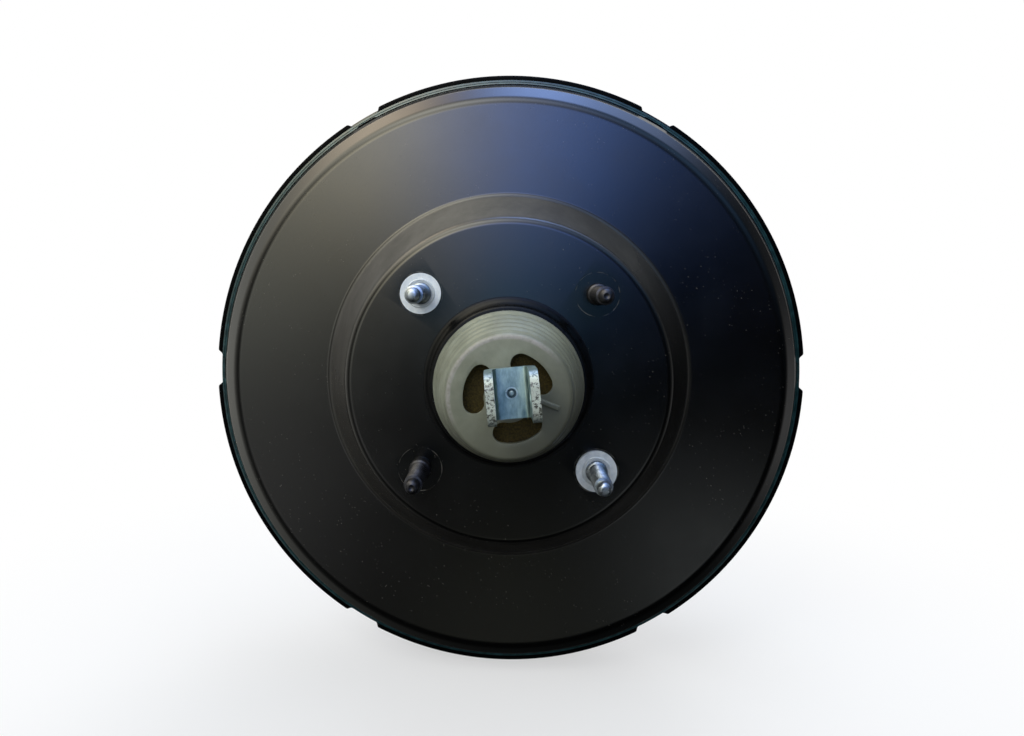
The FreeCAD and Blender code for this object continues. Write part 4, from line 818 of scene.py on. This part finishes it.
def makeFrontShell(values, body):
    spacing = 360 / values["notchCount"]
    near = 2 * values["fineReach"]
    far = spacing - near
    fine, coarse = round(near / values["fineTurn"]), round(far / values["coarseTurn"])
    turns = []
    for notch in range(values["notchCount"]):
        start = notch * spacing - values["fineReach"]
        turns += [start + near * i / fine for i in range(fine)]
        turns += [start + near + far * i / coarse for i in range(coarse)]
    bm = bmesh.new()
    sections = []
    for turn in turns:
        outline = frontOutline(values, body, turn)
        sections.append([addPoint(bm, ringPoint(radius, turn), y) for radius, y in outline])
    for a, b in zip(sections, sections[1:] + sections[:1]):
        joinRings(bm, a, b)
    shell = makeObject("frontShell", bm, 35)
    for centre, radius in body["holes"]:
        cutHole(shell, radius, *body["cutter"], 48, centre)
    shell.data.set_sharp_from_angle(angle=math.radians(30))
    return shell


def finishEdge(shell, values):
    # matt outside of the free edge, and the flat band glossy with a painted teal reflection
    for name in ("cutEdge", "paintedSheenBand"):
        shell.data.materials.append(edges[name])
    band = (values["bandInner"] + values["slitDepth"]) * mm
    for face in shell.data.polygons:
        if face.center.y < (values["notchEnd"] - values["notchSoft"]) * mm:
            away = math.hypot(face.center.x, face.center.z)
            if away > values["band"] * mm:
                face.material_index = 1
            elif away > band and face.center.y < values["bandPaintEnd"] * mm:
                face.material_index = 2


frontShell = makeFrontShell(frontValues, frontBody)
dress(frontShell, paint, "housing", "front_shell")
finishEdge(frontShell, frontValues)
print("front shell made:", len(frontShell.data.polygons), "faces")


# ---- rear shell with the crisp line round its shoulder

rearValues = {
    "sheet": 1.8,
    "neckBore": 29.6,
    "neck": 34.8,
    "neckRear": -9.5,
    "neckRound": 0.7,
    "neckInner": 33.0,
    "neckFootRound": 4.0,
    "neckPaint": 39.2,  # the paint round the neck's foot is duller up to this radius
    "plateau": 73.9,
    "plateauRound": 4.4,
    "ringInner": 87.0,
    "ringInnerRound": 3.0,
    "ring": 22.5,
    "ringOuter": 133.8,  # from here the shoulder slopes to the crisp line
    "ringOuterRound": 7.0,
    "line": 141.2,
    "lineY": 30.0,
    "lineRound": 1.0,
    "lineInShares": (0.9, 0.6),  # how far the sheet's inside lies in and forward there, in sheets
    "ringInShare": 0.4,
    "coneInset": 1.0,
    "side": 143.9,
    "sideEnd": 34.8,
    "sideRound": 5.0,
    "wall": 144.0,
    "flange": 147.9,
    "flangeFace": 42.6,
    "seat": 10.2,
    "seatDepth": 0.3,
    "hole": 5.05,
    "spread": 40.0,
    "around": 240,
}


def makeRearShell(values):
    v = values
    s = v["sheet"]
    corners = [
        (v["neckBore"], v["neckRear"]),
        (v["neck"], v["neckRear"], v["neckRound"], 4),
        (v["neck"], 0, v["neckFootRound"], 8),
        (v["plateau"], 0, v["plateauRound"], 8),
        (v["ringInner"], v["ring"], v["ringInnerRound"], 6),
        (v["ringOuter"], v["ring"], v["ringOuterRound"], 8),
        (v["line"], v["lineY"], v["lineRound"], 6),
        (v["side"], v["sideEnd"], v["sideRound"], 4),
        (v["wall"], v["flangeFace"]),
        (v["flange"], v["flangeFace"]),
        (v["flange"], v["flangeFace"] + s),
        # from here on the inside of the sheet
        (v["wall"] - s, v["flangeFace"] + s),
        (v["side"] - s, v["sideEnd"]),
        (v["line"] - s * v["lineInShares"][0], v["lineY"] + s * v["lineInShares"][1]),
        (v["ringOuter"] - s * v["ringInShare"], v["ring"] + s),
        (v["ringInner"] - v["coneInset"], v["ring"] + s),
        (v["plateau"] - v["coneInset"], s),
        (v["neckInner"], s),
        (v["neckInner"], v["neckRear"] + s),
        (v["neckBore"], v["neckRear"] + s),
    ]
    bm = bmesh.new()
    turnOutline(bm, roundedOutline(corners), v["around"], True)
    shell = makeObject("rearShell", bm, 35)
    for across in (-v["spread"], v["spread"]):
        for up in (-v["spread"], v["spread"]):
            cutHole(shell, v["seat"], -1, v["seatDepth"], 64, (across, up))
            cutHole(shell, v["hole"], -1, s + 1, 64, (across, up))
    shell.data.set_sharp_from_angle(angle=math.radians(35))
    return shell


rearShell = makeRearShell(rearValues)
dress(rearShell, paint, "housing", "rear_shell")
rearShell.data.materials.append(edges["neckPaint"])
for face in rearShell.data.polygons:
    away = math.hypot(face.center.x, face.center.z)
    if away < rearValues["neckPaint"] * mm and face.center.y < 0.1 * mm:
        face.material_index = 1
print("rear shell made:", len(rearShell.data.polygons), "faces")


# ---- rubber boot: ringed side, and an end that goes with the piston

bootValues = {
    "lipRadius": 32.0,
    "lipRear": -7.6,
    "lipFront": -5.8,
    "grooveRadius": 29.5,
    "baseFront": -9.6,
    "baseRadius": 33.0,
    "baseRear": -12.8,
    "baseRounds": (0.7, 1.0),
    "sideFront": -13.6,
    "sideRadius": 31.6,
    "endRadius": 25.0,
    "endFace": -40.3,
    "wall": 1.7,
    "endWall": 2.5,
    "crown": 1.1,
    "crownInset": 2.4,
    "endSink": 0.12,
    "join": -37.0,
    "ringHeight": 0.7,
    "ringSharpness": 1.2,
    "ringWidth": 3.2,
    "sideStep": 0.3,
    "rings": (0.16, 0.35, 0.54, 0.73),
    "endRound": 1.9,
    "holeRadius": 8.4,
    "slotInner": 9.9,
    "slotOuter": 18.3,
    "slotSpan": 49.0,
    "slotAngles": (46.0, 166.0, 286.0),
    "foldedShare": 0.02,  # the side's least length as a share
    "around": 160,
}


def bootSideRadius(values, y):
    share = (values["sideFront"] - y) / (values["sideFront"] - values["endFace"])
    return values["sideRadius"] - (values["sideRadius"] - values["endRadius"]) * share


def makeBootSide(values):
    v = values
    wall, sideFront = v["wall"], v["sideFront"]
    length = sideFront - v["endFace"]
    frontRound, rearRound = v["baseRounds"]
    corners = [
        (v["grooveRadius"] - wall, v["lipFront"]), (v["lipRadius"] - 0.5, v["lipFront"]),
        (v["lipRadius"], v["lipFront"] - 0.5), (v["lipRadius"], v["lipRear"] + 0.2),
        (v["lipRadius"] - 0.2, v["lipRear"]), (v["grooveRadius"], v["lipRear"]),
        (v["grooveRadius"], v["baseFront"]), (v["baseRadius"] - frontRound, v["baseFront"]),
        (v["baseRadius"], v["baseFront"], frontRound, 5), (v["baseRadius"], v["baseRear"], rearRound, 5),
    ]
    y = sideFront
    while y > v["join"] + 0.01:
        share = (sideFront - y) / length
        rise = 0
        for ring in v["rings"]:
            across = abs(share - ring) * length / (v["ringWidth"] / 2)
            rise += v["ringHeight"] * max(0, math.cos(min(1, across) * math.pi / 2)) ** v["ringSharpness"]
        corners.append((bootSideRadius(v, y) + rise, y))
        y -= v["sideStep"]
    join = bootSideRadius(v, v["join"])
    corners += [
        (join, v["join"]), (join - wall, v["join"]),
        (v["sideRadius"] - wall, sideFront), (v["grooveRadius"] - wall, v["baseRear"]),
    ]
    bm = bmesh.new()
    turnOutline(bm, roundedOutline(corners), v["around"], True)
    return makeObject("bootSide", bm, 45)


def kidney(values, angle, low, high):
    # the cutter for one air slot: an outer and an inner arc joined by two round ends
    inner, outer, span = values["slotInner"], values["slotOuter"], values["slotSpan"]
    middle, cap = (inner + outer) / 2, (outer - inner) / 2
    first, last = angle - span / 2, angle + span / 2
    arcSteps, capSteps = 24, 12
    along = [span * i / arcSteps for i in range(arcSteps + 1)]
    about = [180 * i / capSteps for i in range(1, capSteps)]
    points = [ringPoint(outer, first + turn) for turn in along]
    points += [ringPoint(cap, last + turn, ringPoint(middle, last)) for turn in about]
    points += [ringPoint(inner, last - turn) for turn in along]
    points += [ringPoint(cap, first + 180 + turn, ringPoint(middle, first)) for turn in about]
    bm = bmesh.new()
    lower, upper = ([addPoint(bm, point, y) for point in points] for y in (low, high))
    bm.faces.new(lower)
    bm.faces.new(upper)
    joinRings(bm, lower, upper)
    return makeObject("slotCutter", bm)


def makeBootEnd(values):
    v = values
    innerFace = v["endFace"] + v["endWall"]
    outline = [(bootSideRadius(v, v["join"]), v["join"])]
    outline += roundCorner(
        outline[0], (v["endRadius"], v["endFace"] + v["crown"]), (v["holeRadius"], v["endFace"]),
        v["endRound"], 8,
    )
    crownStart = v["endRadius"] - v["crownInset"]
    steps = 6
    for i in range(1, steps + 1):
        radius = crownStart + (v["holeRadius"] - crownStart) * i / steps
        outline.append((radius, v["endFace"] + v["crown"] * (radius / v["endRadius"]) ** 2 + v["endSink"]))
    outline += [
        (v["holeRadius"], innerFace), (bootSideRadius(v, innerFace) - v["wall"], innerFace),
        (bootSideRadius(v, v["join"]) - v["wall"], v["join"]),
    ]
    bm = bmesh.new()
    turnOutline(bm, outline, v["around"], True)
    end = makeObject("bootEnd", bm, 45)
    for angle in v["slotAngles"]:
        cutWith(end, kidney(v, angle, v["endFace"] - 1, innerFace + 1))
    bevelEdges(end, 0.3, 60)
    return end


barValues = {
    "place": 16.2, "angle": -9.1, "turn": -20.7, "length": 8.8, "width": 2.6, "height": 1.0, "sunk": 0.3,
    "topShare": 0.72, "endSlope": 1.2, "bevel": 0.45,
}


def makeBootBar(values, face):
    # low rounded bar moulded on the boot's end
    centre = Vector(ringPoint(values["place"], values["angle"]))
    along = Vector(ringPoint(1, values["turn"]))
    across = Vector((-along.y, along.x))
    bm = bmesh.new()
    rings = []
    for y, share in ((face + values["sunk"], 1.0), (face - values["height"], values["topShare"])):
        long = values["length"] / 2 - (1 - share) * values["endSlope"]
        wide = values["width"] / 2 * share
        sides = ((1, 1), (-1, 1), (-1, -1), (1, -1))
        corners = [centre + along * a * long + across * b * wide for a, b in sides]
        rings.append([addPoint(bm, corner, y) for corner in corners])
        bm.faces.new(rings[-1])
    joinRings(bm, *rings)
    bar = makeObject("bootBar", bm)
    bevelEdges(bar, values["bevel"], 30, 4)
    return bar


bootSide = makeBootSide(bootValues)
dress(bootSide, bootRubber, "housing", "dust_boot")
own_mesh(bootSide)
bootEnd = makeBootEnd(bootValues)
dress(bootEnd, bootRubber, "power_piston", "dust_boot")
bootBar = makeBootBar(barValues, bootValues["endFace"])
dress(bootBar, bootRubber, "power_piston", "dust_boot")
print("boot made")


# ---- foam filter behind the slots

foamValues = {
    "inner": 9.8, "outer": 19.7, "rear": -34.4, "front": -28.8, "lumps": 0.5, "lumpScales": (900, 2100),
    "lumpMiddle": 0.6, "steps": 14, "around": 120,
}


def makeFoam(values):
    v = values
    outline = [(v["inner"], v["front"])]
    steps, width = v["steps"], v["outer"] - v["inner"]
    outline += [(v["inner"] + width * i / steps, v["rear"]) for i in range(steps + 1)]
    outline += [(v["outer"], v["front"])]
    bm = bmesh.new()
    rings = turnOutline(bm, outline, v["around"], True)
    for ring in rings[1:-1]:
        for vert in ring:
            lump = sum(noise.noise(vert.co * scale) * 0.5 for scale in v["lumpScales"])
            vert.co.y += v["lumps"] * mm * (v["lumpMiddle"] + lump)
    return makeObject("foamFilter", bm, 180)


foam = makeFoam(foamValues)
dress(foam, softs["filterFoam"], "power_piston", "air_filter")
print("filter made")


# ---- floor, light and camera

stageValues = {
    "floorZ": -0.1504,  # metres, as are the fade and the size
    "floorHalf": 6,
    "floorColour": (0.86, 0.86, 0.86),
    "floorRoughness": 0.9,
    "floorWhite": (0.55, 1.0),  # share of plain white the camera sees, under the object and far off
    "fadeStart": 0.10,
    "fadeEnd": 0.42,
    "worldTop": (0.46, 0.50, 0.56),
    "worldBottom": (0.05, 0.05, 0.05),
    "worldFade": (-0.6, 0.8),
}


def showWhite(tree, shader, output, share=None):
    # the camera, and what is mirrored, see this surface as plain white, or as a share of it
    rays = tree.nodes.new("ShaderNodeLightPath")
    white = tree.nodes.new("ShaderNodeEmission")
    mirrored = mathNode(tree, "MAXIMUM", rays.outputs["Is Glossy Ray"], rays.outputs["Is Transmission Ray"])
    seen = mathNode(tree, "MAXIMUM", rays.outputs["Is Camera Ray"], mirrored)
    if share is not None:
        seen = mathNode(tree, "MULTIPLY", seen, share)
    mix = tree.nodes.new("ShaderNodeMixShader")
    tree.links.new(seen, mix.inputs[0])
    tree.links.new(shader, mix.inputs[1])
    tree.links.new(white.outputs[0], mix.inputs[2])
    tree.links.new(mix.outputs[0], output)


def makeWorld(values):
    world = bpy.data.worlds.new("studio")
    bpy.context.scene.world = world
    world.use_nodes = True
    tree = world.node_tree
    tree.nodes.clear()
    output = tree.nodes.new("ShaderNodeOutputWorld")
    sky = tree.nodes.new("ShaderNodeBackground")
    place = tree.nodes.new("ShaderNodeTexCoord")
    split = tree.nodes.new("ShaderNodeSeparateXYZ")
    tree.links.new(place.outputs["Generated"], split.inputs[0])
    height = tree.nodes.new("ShaderNodeMapRange")
    bottom, top = values["worldFade"]
    setInputs(height, {"From Min": bottom, "From Max": top})
    tree.links.new(split.outputs["Z"], height.inputs["Value"])
    mix = tree.nodes.new("ShaderNodeMix")
    mix.data_type = "RGBA"
    mix.inputs[6].default_value = (*values["worldBottom"], 1)
    mix.inputs[7].default_value = (*values["worldTop"], 1)
    tree.links.new(height.outputs["Result"], mix.inputs["Factor"])
    tree.links.new(mix.outputs[2], sky.inputs["Color"])
    showWhite(tree, sky.outputs[0], output.inputs["Surface"])


def makeFloor(values):
    bm = bmesh.new()
    bmesh.ops.create_grid(bm, x_segments=1, y_segments=1, size=values["floorHalf"])
    floor = makeObject("studioFloor", bm)
    floor.location.z = values["floorZ"]
    material = bpy.data.materials.new("paleFloor")
    material.use_nodes = True
    tree = material.node_tree
    shader = tree.nodes["Principled BSDF"]
    setInputs(shader, {"Base Color": (*values["floorColour"], 1), "Roughness": values["floorRoughness"]})
    place = tree.nodes.new("ShaderNodeTexCoord")
    away = tree.nodes.new("ShaderNodeVectorMath")
    away.operation = "LENGTH"
    tree.links.new(place.outputs["Object"], away.inputs[0])
    fade = tree.nodes.new("ShaderNodeMapRange")
    fade.interpolation_type = "SMOOTHSTEP"
    near, far = values["floorWhite"]
    setInputs(fade, {
        "From Min": values["fadeStart"], "From Max": values["fadeEnd"], "To Min": near, "To Max": far,
    })
    tree.links.new(away.outputs["Value"], fade.inputs["Value"])
    output = tree.nodes["Material Output"]
    showWhite(tree, shader.outputs[0], output.inputs["Surface"], fade.outputs["Result"])
    floor.data.materials.append(material)
    floor.visible_glossy = False
    floor.visible_diffuse = False


tentValues = {
    "radius": 4.0,
    "base": (0.006, 0.007, 0.007),
    "glows": {  # turn to the right of the camera, height, width, all in degrees, and colour
        "window": (-18, 22, 13, (8.0, 7.4, 5.4)),
        "blueWindow": (3, 20, 12, (1.2, 2.3, 6.2)),
        "tealWall": (0, 2, 8, (0.1, 0.45, 0.55)),
        "ceilingFront": (-30, 54, 20, (6.0, 5.8, 4.8)),
        "ceilingMiddle": (12, 58, 18, (0.9, 1.4, 2.8)),
        "ceilingLeft": (-80, 44, 22, (3.0, 2.8, 2.2)),
        "ceilingTan": (-116, 57, 16, (3.4, 2.8, 2.1)),
        "ceilingBlue": (150, 76, 15, (2.2, 3.4, 7.0)),
        "ceilingRight": (118, 56, 13, (0.8, 1.1, 1.9)),
        "wallRight": (60, 45, 22, (0.3, 0.6, 1.1)),
        "wallLeft": (-30, 2, 11, (1.7, 1.75, 1.55)),
        "wallFarLeft": (-105, 0, 34, (0.85, 0.85, 0.78)),
        "wallFarRight": (105, -14, 18, (0.28, 0.28, 0.28)),
        "lowLeft": (-30, -20, 12, (0.72, 0.72, 0.70)),
        "lowRight": (24, -27, 9, (0.75, 0.80, 0.80)),
        "ground": (0, -34, 10, (0.26, 0.27, 0.22)),
        "behind": (165, 18, 26, (1.3, 1.3, 1.3)),
    },
}


def skyWay(turn, height):
    turn, height = math.radians(turn), math.radians(height)
    return (math.sin(turn) * math.cos(height), -math.cos(turn) * math.cos(height), math.sin(height))


def makeTent(values):
    # a large dim room with soft windows, only seen in reflections
    bm = bmesh.new()
    bmesh.ops.create_icosphere(bm, subdivisions=4, radius=values["radius"])
    tent = makeObject("reflectionTent", bm, 180)
    material = bpy.data.materials.new("roomGlow")
    material.use_nodes = True
    material.cycles.emission_sampling = "NONE"
    tree = material.node_tree
    tree.nodes.clear()
    output = tree.nodes.new("ShaderNodeOutputMaterial")
    light = tree.nodes.new("ShaderNodeEmission")
    place = tree.nodes.new("ShaderNodeTexCoord")
    way = tree.nodes.new("ShaderNodeVectorMath")
    way.operation = "NORMALIZE"
    tree.links.new(place.outputs["Object"], way.inputs[0])

    def vectorNode(operation, *parts):
        node = tree.nodes.new("ShaderNodeVectorMath")
        node.operation = operation
        for socket, part in zip(node.inputs, parts):
            if isinstance(part, tuple):
                socket.default_value = part
            else:
                tree.links.new(part, socket)
        return node

    total = values["base"]
    for turn, height, width, colour in values["glows"].values():
        near = vectorNode("DOT_PRODUCT", way.outputs["Vector"], skyWay(turn, height)).outputs["Value"]
        below = mathNode(tree, "SUBTRACT", near, 1.0)
        fall = mathNode(tree, "MULTIPLY", below, 2 / math.radians(width) ** 2)
        glow = vectorNode("SCALE", colour)
        tree.links.new(mathNode(tree, "EXPONENT", fall), glow.inputs["Scale"])
        total = vectorNode("ADD", glow.outputs["Vector"], total).outputs["Vector"]
    tree.links.new(total, light.inputs["Color"])
    tree.links.new(light.outputs[0], output.inputs["Surface"])
    tent.data.materials.append(material)
    tent.visible_camera = False
    tent.visible_diffuse = False
    tent.visible_shadow = False
    tent.visible_transmission = False


lightValues = {
    "key": {"place": (-0.70, -0.70, 0.95), "size": (0.8, 0.6), "power": 7.0, "colour": (1.0, 0.99, 0.95)},
    "front": {"place": (-0.15, -1.1, 0.35), "size": (0.8, 0.6), "power": 1.6, "colour": (0.95, 0.98, 1.0)},
    "sky": {"place": (0.20, 0.15, 1.20), "size": (0.9, 0.7), "power": 4.5, "colour": (0.82, 0.90, 1.0)},
    "back": {"place": (0.6, 1.1, 0.9), "size": (1.0, 0.8), "power": 9.0, "colour": (1.0, 1.0, 1.0)},
}

lightAim = (0, 0.03, 0)


def makeLight(name, values):
    lamp = bpy.data.lights.new(name, "AREA")
    lamp.shape = "RECTANGLE"
    lamp.size, lamp.size_y = values["size"]
    lamp.energy = values["power"]
    lamp.color = values["colour"]
    holder = bpy.data.objects.new(name, lamp)
    holder.location = values["place"]
    aim = Vector(lightAim) - Vector(values["place"])
    holder.rotation_euler = aim.to_track_quat("-Z", "Y").to_euler()
    holder.visible_glossy = False  # reflections come from the tent
    bpy.context.scene.collection.objects.link(holder)


cameraValues = {
    "place": (-1.49, -305.93, 47.27),
    "pitch": -1.21,
    "yaw": -1.32,
    "roll": 0.31,
    "focalPixels": 677.0,
    "middlePixels": (490.0, 292.0),
    "imageSize": (1024, 736),
    "sensor": 36.0,
}


def makeCamera(values):
    pitch, yaw, roll = (math.radians(values[key]) for key in ("pitch", "yaw", "roll"))
    forward = Vector((math.sin(yaw) * math.cos(pitch), math.cos(yaw) * math.cos(pitch), math.sin(pitch)))
    flat = forward.cross(Vector((0, 0, 1))).normalized()
    rise = flat.cross(forward)
    right = flat * math.cos(roll) + rise * math.sin(roll)
    up = rise * math.cos(roll) - flat * math.sin(roll)
    lens = bpy.data.cameras.new("photoCamera")
    width, height = values["imageSize"]
    lens.sensor_fit = "HORIZONTAL"
    lens.sensor_width = values["sensor"]
    lens.lens = values["focalPixels"] / width * values["sensor"]
    lens.shift_x = (width / 2 - values["middlePixels"][0]) / width
    lens.shift_y = -(height / 2 - values["middlePixels"][1]) / width
    lens.clip_start = 0.01
    camera = bpy.data.objects.new("photoCamera", lens)
    turn = Matrix((right, up, -forward)).transposed().to_4x4()
    camera.matrix_world = Matrix.Translation(Vector(values["place"]) * mm) @ turn
    bpy.context.scene.collection.objects.link(camera)
    bpy.context.scene.camera = camera


makeWorld(stageValues)
makeFloor(stageValues)
makeTent(tentValues)
for name, values in lightValues.items():
    makeLight(name + "Light", values)
makeCamera(cameraValues)
bpy.context.scene.view_settings.view_transform = "Standard"
print("stage, light and camera set")

bpy.context.view_layer.update()
